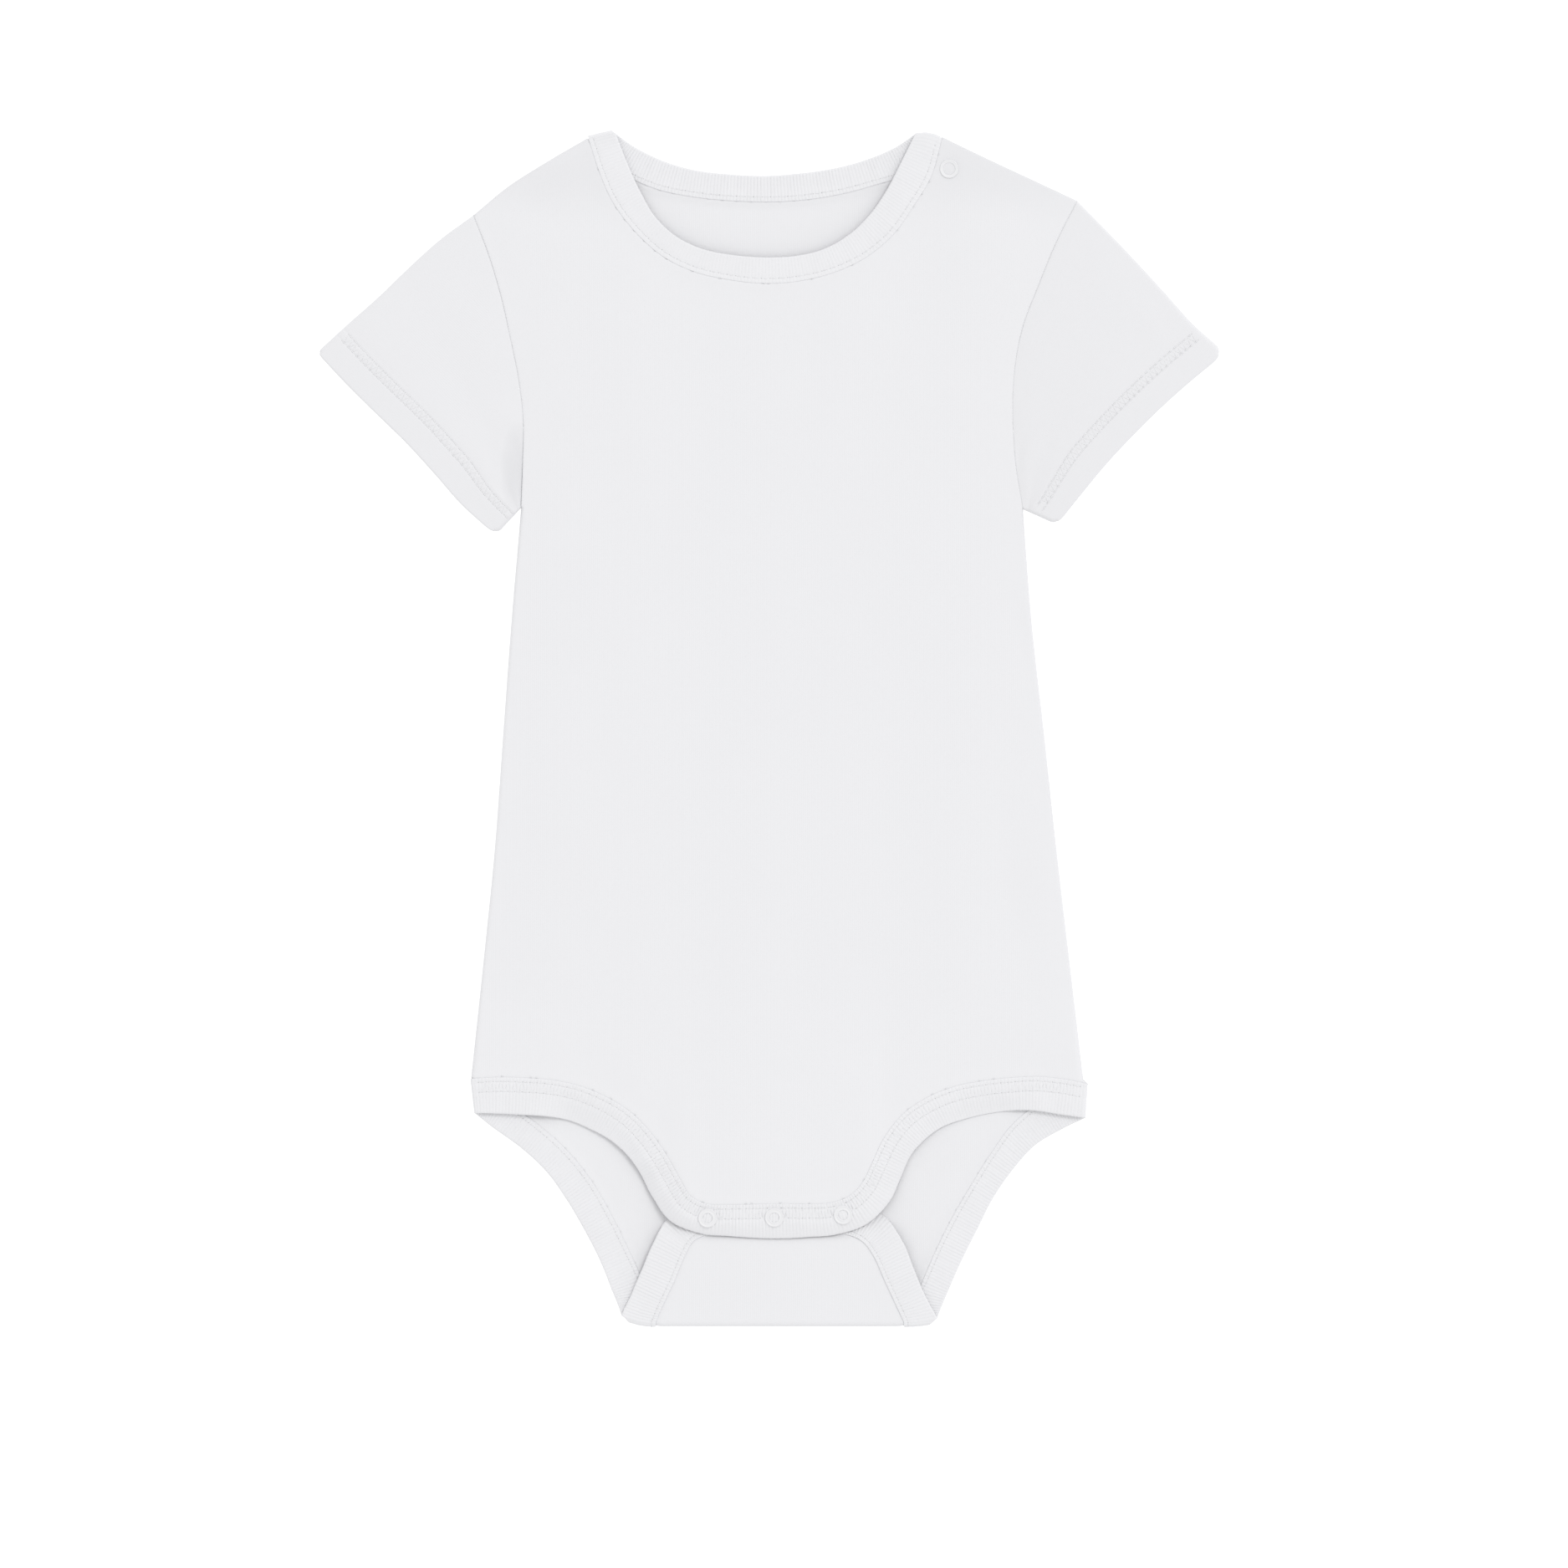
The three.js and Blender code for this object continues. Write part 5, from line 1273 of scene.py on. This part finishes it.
class Sleeve:
    def __init__(self, armhole, top_edge, cuff, underarm, flat_seam, corners):
        self.A, self.T, self.C = plain(armhole), plain(top_edge), plain(cuff)
        self.underarm, self.flat_seam, self.corners = underarm, flat_seam, corners
        self.middle = self.on(self.A, np.array([0.5]))[0]
        size = float(np.linalg.norm(self.on(self.A, np.zeros(1))[0] - self.hem(np.zeros(1))[0]))
        self.share = size / (size + HEM_WIDTH)
        self.span = float(np.linalg.norm(self.plan(1, 0.5, np.array([0.0])) - self.plan(1, 0.5, np.array([1.0]))))
        self.length = float(np.linalg.norm(self.plan(0, 0.0, np.array([0.5])) - self.plan(0, 1.0, np.array([0.5]))))

    def on(self, pts, w):
        return curve_at(pts, np.asarray(w, float) * (len(pts) - 1))

    def hem(self, w):
        p, q = self.on(self.C, np.maximum(0, w - 0.03)), self.on(self.C, np.minimum(1, w + 0.03))
        c = self.on(self.C, w)
        n = unit(np.stack([q[:, 1] - p[:, 1], p[:, 0] - q[:, 0]], 1))
        n *= np.where(((self.middle - c) * n).sum(1) < 0, -1, 1)[:, None]
        n = mix(n, unit(self.A[-1] - self.C[-1]), ease(0.7, 1, w)[:, None])
        return c + n * mix(HEM_WIDTH, HEM_WIDTH * 0.78, ease(0.7, 1, w))[:, None]

    def cornered(self, w, along):
        """the cuff's two corners drawn round: squares at the corners are mapped into quarter circles"""
        width = np.linalg.norm(self.C[0] - self.C[-1])
        v = np.broadcast_to((1 - along) * HEM_WIDTH, w.shape).astype(float).copy()
        u = w * width
        for end, r in enumerate(self.corners):
            d = u if end == 0 else width - u
            a, b = np.clip((r - d) / r, 0, 1), np.clip((r - v) / r, 0, 1)
            size = np.maximum(a, b) / np.maximum(1e-9, np.hypot(a, b))
            hit = (a > 0) & (b > 0)
            d2, v2 = r - r * a * size, r - r * b * size
            u = np.where(hit, d2 if end == 0 else width - d2, u)
            v = np.where(hit, v2, v)
        return u / width, 1 - v / HEM_WIDTH

    def plan(self, part, along, w):
        w = np.asarray(w, float)
        if part:
            p, q = self.hem(w), self.on(self.C, w)
            h0, c0 = self.hem(np.zeros(1))[0], self.on(self.C, np.zeros(1))[0]
            w, along = self.cornered(w, along)
            t = self.on(self.T, self.share + (1 - self.share) * along)
            p, q = self.hem(w), self.on(self.C, w)
            along = along[:, None]
            return p + (q - p) * along + (t - h0 - (c0 - h0) * along) * ((1 - w) ** 2)[:, None]
        p, q = self.on(self.A, w), self.hem(w)
        a0, h0 = self.on(self.A, np.zeros(1))[0], self.hem(np.zeros(1))[0]
        t = self.on(self.T, np.array([along * self.share]))[0]
        return p + (q - p) * along + (t - a0 - (h0 - a0) * along) * ((1 - w) ** 2)[:, None]

    def top(self, part, along, w, width):
        """height of the outer face: as in the solid model, with seam, creases and hem"""
        s = 1.0 if part else along
        base = 2 * mix(CLOTH, HEM_WALL, 1.0 if part else float(ease(0.5, 1, along))) + GAP
        dw = np.minimum(w, 1 - w) * width
        swell = 1 - (1 - min(1, s / 0.5)) ** 2
        z = base + (LOFT - 0.2) * swell * (1 - (1 - np.minimum(1, dw / 34)) ** 2)
        u, v = np.full_like(w, s) * 70, w * 115
        crease = {k: SLEEVE_CREASES[k] * f for k, f in zip(SLEEVE_CREASES, (70, 115, 70, 115, 1, 1))}
        fade = ease(0, 9, dw)
        z = z + (creases(crease, u, v) + 0.8 * rumple(u * 1.3 + 40, v * 1.1)) * fade * (0.35 if part else ease(0, 0.08, along))
        if part:
            off = (1 - along) * HEM_WIDTH
            z = z + 0.10 * ease(0, 0.09, along)
            for row in HEM_ROWS:
                z = z - 0.15 * np.exp(-(((off - row) / 0.45) ** 2)) * (1 + 0.25 * np.cos(2 * np.pi * w * width / HEM_PITCH))
            z = z + 0.04 * np.sin(w * width / 2.1 + 1.3 * np.sin(w * 17)) * np.exp(-(((off - 12.5) / 3.0) ** 2))
        else:
            mm = along * self.length
            arm = self.underarm * ease(0.66, 0.93, w)
            deep, far = 0.24 * (1 - self.flat_seam * ease(0.33, 0.5, w)) + 0.55 * arm, 1.1 + 9.0 * arm
            z = z - deep * np.where(arm > 0.02, (1 - np.minimum(1, mm / far)) ** 1.4, 1 - round_off(mm / far))
            z = z - 0.1 * np.exp(-(((mm - self.length) / 0.8) ** 2))
            z = z + pucker(np.full_like(w, mm), w * width, 5.3, 2.2) * 0.7
        return z

    def build(self, name, material):
        tail = [0.0, 0.012, 0.027, 0.042, 0.057, 0.075, 0.11, 0.16, 0.21, 0.245, 0.267, 0.282, 0.297, 0.32, 0.36, 0.44, 0.54, 0.64, 0.74, 0.80, 0.84, 0.88, 0.91, 0.935, 0.955, 0.97, 0.984, 0.995, 1.0]
        head = [0, 0.3, 0.7, 1.2, 1.8, 2.6, 3.6, 5.0]
        rings = [(0, h / self.length) for h in head]
        n = max(4, int((self.length - 7.5) / (1.7)))
        rings += [(0, a) for a in np.linspace(6.6 / self.length, 1 - 1.2 / self.length, n)] + [(0, 1 - 0.5 / self.length)]
        rings += [(1, a) for a in tail]
        cells = 66
        under = 24
        outers, inners = [], []
        for part, along in rings:
            w01 = self.plan(part, along, np.array([0.0, 1.0]))
            width = float(np.linalg.norm(w01[0] - w01[1]))
            wall = mix(0.8, 1.3, 1.0 if part else float(ease(0.97, 1, along)))
            off = (1 - along) * HEM_WIDTH if part else 99
            close = float(round_off(off / 0.75))  # 0 at the hem's very edge
            for inset, store in ((0.0, outers), (wall, inners)):
                z0 = self.top(part, along, np.array([0.0, 1.0]), width)
                low0 = inset
                pinch = (1 - close) * wall / 2 * (1 if inset == 0 else -1)
                low = low0 + pinch
                phi = np.linspace(0, np.pi / 2, 6)
                loop = []
                for end, flip in ((0, False), (1, True)):
                    half = max(0.12, (z0[end] - 2 * inset) / 2 - pinch)
                    c = low + half
                    d = inset + pinch + half * (1 - np.cos(phi))
                    up = c + half * np.sin(phi)
                    dn = c - half * np.sin(phi)
                    loop.append((d / width, up, dn))
                (d0, up0, dn0), (d1, up1, dn1) = loop
                ws = np.linspace(0, 1, cells + 1)[1:-1]
                ws = ws[(ws > d0[-1] + 0.004) & (ws < 1 - d1[-1] - 0.004)]
                # keep the count of points the same on every ring
                k = cells - 3
                ws = np.interp(np.linspace(0, 1, k), np.linspace(0, 1, len(ws)), ws)
                tops = self.top(part, along, ws, width) - inset - pinch
                side0 = np.concatenate([d0, ws, (1 - d1)[::-1]])
                blend = np.concatenate([up0, tops, up1[::-1]])
                top_end0, top_end1 = up0[-1], up1[-1]
                t0 = self.top(part, along, np.array([d0[-1]]), width)[0] - inset - pinch
                t1 = self.top(part, along, np.array([1 - d1[-1]]), width)[0] - inset - pinch
                blend[:6] += (t0 - top_end0) * np.sin(phi)
                blend[-6:] += (t1 - top_end1) * np.sin(phi[::-1])
                wb = np.linspace(1 - d1[-1], d0[-1], under)[1:-1]
                lows = np.full(len(wb), low)
                w_all = np.concatenate([side0, (1 - d1)[1:], wb, d0[1:][::-1]])
                z_all = np.concatenate([blend, dn1[1:], lows, dn0[1:][::-1]])
                at = self.plan(part, along, np.clip(w_all, 0, 1))
                store.append(np.column_stack([at, z_all]))
        m, n = len(outers[0]), len(outers)
        verts = np.vstack(outers + inners)
        i, k = np.arange(n - 1)[:, None], np.arange(m)[None]
        k2 = (k + 1) % m
        quads = np.stack([i * m + k, i * m + k2, (i + 1) * m + k2, (i + 1) * m + k], 2).reshape(-1, 4)
        inner = quads[:, ::-1] + n * m
        k, k2 = np.arange(m), (np.arange(m) + 1) % m
        first = np.stack([k2, k, n * m + k, n * m + k2], 1)
        last = np.stack([(n - 1) * m + k, (n - 1) * m + k2, (2 * n - 1) * m + k2, (2 * n - 1) * m + k], 1)
        faces = np.vstack([quads, inner, first, last])
        if not outward(verts - verts.mean(0), np.vstack([faces[:, :3], faces[:, [0, 2, 3]]])):
            faces = faces[:, ::-1]
        self.obj = make(name, verts, [faces], material)
        hull = np.vstack([self.plan(0, 0, np.linspace(0, 1, 40)), self.plan(0, 1, np.array([1.0])), self.plan(1, 1, np.linspace(1, 0, 40)),
                          self.plan(1, 0, np.array([0.0])), np.vstack([self.plan(0, a, np.array([0.0])) for a in np.linspace(1, 0, 20)])])
        self.area = 2 * area_of(hull)
        return self.obj

    def spot(self, beat, row, proud):
        """points on the hem's outer face at the distance row from its edge, beat millimetres from the upper end"""
        along = 1 - row / HEM_WIDTH
        w = np.linspace(0.012, 0.985, 600)
        wc = np.interp(beat, run_of(self.plan(1, along, w)), w)
        width = float(np.linalg.norm(np.diff(self.plan(1, along, np.array([0.0, 1.0])), axis=0)))
        return np.column_stack([self.plan(1, along, wc), self.top(1, along, wc, width) + proud])

    def beats(self, shift):
        return np.arange(2.0 + shift * HEM_PITCH, self.span - 2.0, HEM_PITCH)

    def sew(self, row):
        b = self.beats(0.5)
        p = self.spot(b, row, 0.12)
        t = unit(self.spot(b + 0.6, row, 0.12) - self.spot(b - 0.6, row, 0.12))
        return p, t, self.upright(t), np.full(len(t), HEM_PITCH * 0.68)

    def upright(self, t):
        return unit(np.cross(np.cross(t, np.tile([0.0, 0, 1], (len(t), 1))), t))

    def cross(self):
        a, b = self.beats(0.0), self.beats(0.5)
        n = min(len(a), len(b)) - 1
        pa, pb = self.spot(a, HEM_ROWS[0], 0.16), self.spot(b, HEM_ROWS[1], 0.16)
        out = []
        for p, q in ((pa[:n], pb[:n]), (pb[:n], pa[1:n + 1])):
            t = unit(q - p)
            out.append(((p + q) / 2, t, self.upright(t), np.linalg.norm(q - p, axis=1) * 0.96))
        return out

    def holes(self, row):
        p = self.spot(self.beats(0.0), row, -0.02)
        return p, np.tile([0.0, 0.0, 1.0], (len(p), 1))


sleeve_r = Sleeve(ARMHOLE_R, SLEEVE_TOP_R, CUFF_R, 1.0, 0.5, (2.5, 4.2))
sleeve_l = Sleeve(ARMHOLE_L, SLEEVE_TOP_L, CUFF_L, 0.2, 0.85, (5.0, 3.8))
sleeve_r_obj = sleeve_r.build("cloth_sleeve_right", SLEEVE_R)
sleeve_l_obj = sleeve_l.build("cloth_sleeve_left", SLEEVE_L)
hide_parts("sleeve_right")
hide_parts("sleeve_left")


# ---- snap rings --------------------------------------------------------------------------------------------------------

CROTCH_RING = table("r h", [
    (1.88, -0.3), (1.86, 0.22), (1.95, 0.33), (2.1, 0.37), (2.28, 0.33), (2.46, 0.26), (2.7, 0.23), (2.95, 0.25),
    (3.15, 0.31), (3.32, 0.37), (3.48, 0.36), (3.58, 0.26), (3.6, 0.1), (3.52, -0.3),
])
SHOULDER_RING = table("r h", [
    (2.3, -0.3), (2.3, 0.14), (2.42, 0.26), (2.6, 0.28), (2.8, 0.26), (3.0, 0.32), (3.18, 0.42), (3.34, 0.44), (3.5, 0.36),
    (3.6, 0.16), (3.52, -0.3),
])


def lathe(name, profile, x, y, z, turns=72):
    m = len(profile["r"])
    a = np.arange(turns) * 2 * np.pi / turns
    verts = np.stack([
        x + np.cos(a)[:, None] * profile["r"][None],
        y + np.sin(a)[:, None] * profile["r"][None],
        np.broadcast_to(z + profile["h"][None], (turns, m)),
    ], 2).reshape(-1, 3)
    i, k = np.arange(turns)[:, None], np.arange(m)[None]
    i2, k2 = (i + 1) % turns, (k + 1) % m
    quads = np.stack([i * m + k, i2 * m + k, i2 * m + k2, i * m + k2], 2).reshape(-1, 4)
    if not outward(verts - verts.mean(0), np.vstack([quads[:, :3], quads[:, [0, 2, 3]]])):
        quads = quads[:, ::-1]
    return make(name, verts, [quads], ENAMEL)


for k, (sx, sy) in enumerate(CROTCH_SNAPS):
    ring = lathe(f"ring_crotch_{k + 1}", CROTCH_RING, sx, sy, PLACKET_Z + RIB / 2 - 0.06)
    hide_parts(f"snap_{k + 1}_ring")
ring = lathe("ring_shoulder", SHOULDER_RING, snap_x, snap_y, float(front_z(np.array([snap_x]), np.array([snap_y]))[0]) + 0.5 - 0.05)
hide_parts("snap_shoulder_ring")
for name, o in ((n, bpy.data.objects.get(n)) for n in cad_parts):
    if o and name.startswith("snap_") and not name.endswith("_ring"):
        if not o.material_slots:
            o.data.materials.append(METAL)
        for m in o.material_slots:
            m.material = METAL


# ---- stitches ----------------------------------------------------------------------------------------------------------

def needle_holes(name, rows, radius=0.22):
    """where the needle went through: small dimples between the stitches, their dark grey a painted shade"""
    at, up = (np.concatenate([r[k] for r in rows]) for k in range(2))
    k, sides = len(at), 8
    side = unit(np.cross(up, np.array([0.31, 0.95, 0.07])))
    other = np.cross(up, side)
    ang = np.arange(sides) * 2 * np.pi / sides
    levels = ((1.0, -0.06), (0.85, 0.03), (0.45, 0.05))
    loops = [at[:, None] + radius * f * (side[:, None] * np.cos(ang)[None, :, None] + other[:, None] * np.sin(ang)[None, :, None]) + up[:, None] * h for f, h in levels]
    tips = np.stack([at + up * 0.055, at - up * 0.09], 1)
    verts = np.concatenate([*loops, tips], 1)
    m = verts.shape[1]
    quads, tris = [], []
    for r in range(len(levels) - 1):
        for j in range(sides):
            a, b = r * sides + j, r * sides + (j + 1) % sides
            quads.append((a, b, b + sides, a + sides))
    for j in range(sides):
        a, b = j, (j + 1) % sides
        tris.append((2 * sides + a, 2 * sides + b, m - 2))
        tris.append((b, a, m - 1))
    base = (np.arange(k) * m)[:, None, None]
    q = (np.array(quads)[None] + base).reshape(-1, 4)
    t = (np.array(tris)[None] + base).reshape(-1, 3)
    verts = verts.reshape(-1, 3)
    if not outward(verts[:m] - verts[:m].mean(0), np.vstack([np.array(quads)[:, :3], np.array(quads)[:, [0, 2, 3]], np.array(tris)])):
        q, t = q[:, ::-1], t[:, ::-1]
    return make(name, verts, [q, t], HOLE_SHADE)


def beside_snaps(rows):
    """leaves out what would lie under a ring or in its middle"""
    out = []
    for r in rows:
        d = np.linalg.norm(r[0][:, None, :2] - CROTCH_SNAPS[None], axis=2).min(1)
        out.append(tuple(v[d > SNAP_R + 0.7] for v in r))
    return out


def sewn(name, rows, radius):
    at, along, up, size = (np.concatenate([r[k] for r in rows]) for k in range(4))
    return stitches(name, at, along, up, size, radius)


neck_st = sewn("stitches_neck", [neck.sew(1.9, 3.2, 1), neck.sew(1.9, 3.2, -1)], 0.16)
neck_ho = needle_holes("holes_neck", [neck.holes(1.9, 3.2, 1), neck.holes(1.9, 3.2, -1)])
front_st = sewn("stitches_front_edge", beside_snaps([front_edge.sew(1.6, 2.7, 1), front_edge.sew(5.4, 2.7, 1)]), 0.18)
front_zz = sewn("cover_thread_front_edge", beside_snaps(front_edge.cross(1.6, 5.4, 2.7, 1)), 0.13)
front_ho = needle_holes("holes_front_edge", beside_snaps([front_edge.holes(1.6, 2.7, 1), front_edge.holes(5.4, 2.7, 1)]))
back_st = sewn("stitches_back_edge", [back_edge.sew(1.6, 2.9, 1), back_edge.sew(1.6, 2.9, -1)], 0.16)
back_ho = needle_holes("holes_back_edge", [back_edge.holes(1.6, 2.9, 1), back_edge.holes(1.6, 2.9, -1)])
for tag, sl in (("right", sleeve_r), ("left", sleeve_l)):
    sewn(f"stitches_sleeve_{tag}", [sl.sew(r) for r in HEM_ROWS], 0.19)
    sewn(f"cover_thread_sleeve_{tag}", sl.cross(), 0.17)
    needle_holes(f"holes_sleeve_{tag}", [sl.holes(r) for r in HEM_ROWS])


# ---- floor and light ---------------------------------------------------------------------------------------------------

g = Graph("floor")
where = g.place()
g.link(g.ramp(g.noise(where, 6, 4.0), (0.30, 0.30, 0.302), (0.32, 0.32, 0.322), (0.3, 0.7)), g.bsdf.inputs["Base Color"])
g.bsdf.inputs["Roughness"].default_value = 0.9
g.bsdf.inputs["Specular IOR Level"].default_value = 0.1
g.bsdf.inputs["Emission Color"].default_value = (1, 1, 1, 1)
g.bsdf.inputs["Emission Strength"].default_value = 0.84
floor_mesh = bpy.data.meshes.new("floor")
floor_mesh.from_pydata([(-4, -4, -0.0003), (4, -4, -0.0003), (4, 4, -0.0003), (-4, 4, -0.0003)], [], [(0, 1, 2, 3)])
floor_mesh.materials.append(g.material)
floor = bpy.data.objects.new("floor", floor_mesh)
bpy.context.scene.collection.objects.link(floor)

world = bpy.data.worlds.new("studio")
world.use_nodes = True
bg = world.node_tree.nodes["Background"]
bg.inputs[0].default_value = (1.0, 1.0, 1.0, 1)
bg.inputs[1].default_value = 0.985
bpy.context.scene.world = world


def softbox(name, at, size, watts, target=(0, 0, 0)):
    data = bpy.data.lights.new(name, "SUN")  # as a very large softbox far away, so that it lights the cloth evenly
    data.angle = size
    data.energy = watts
    o = bpy.data.objects.new(name, data)
    o.location = at
    o.rotation_mode = "QUATERNION"
    o.rotation_quaternion = (Vector(at) - Vector(target)).to_track_quat("Z", "Y")
    bpy.context.scene.collection.objects.link(o)
    return o


softbox("key", (0.40, 0.46, 0.79), 0.35, 0.68)

scene = bpy.context.scene
scene.view_settings.view_transform = "Standard"
scene.view_settings.look = "None"
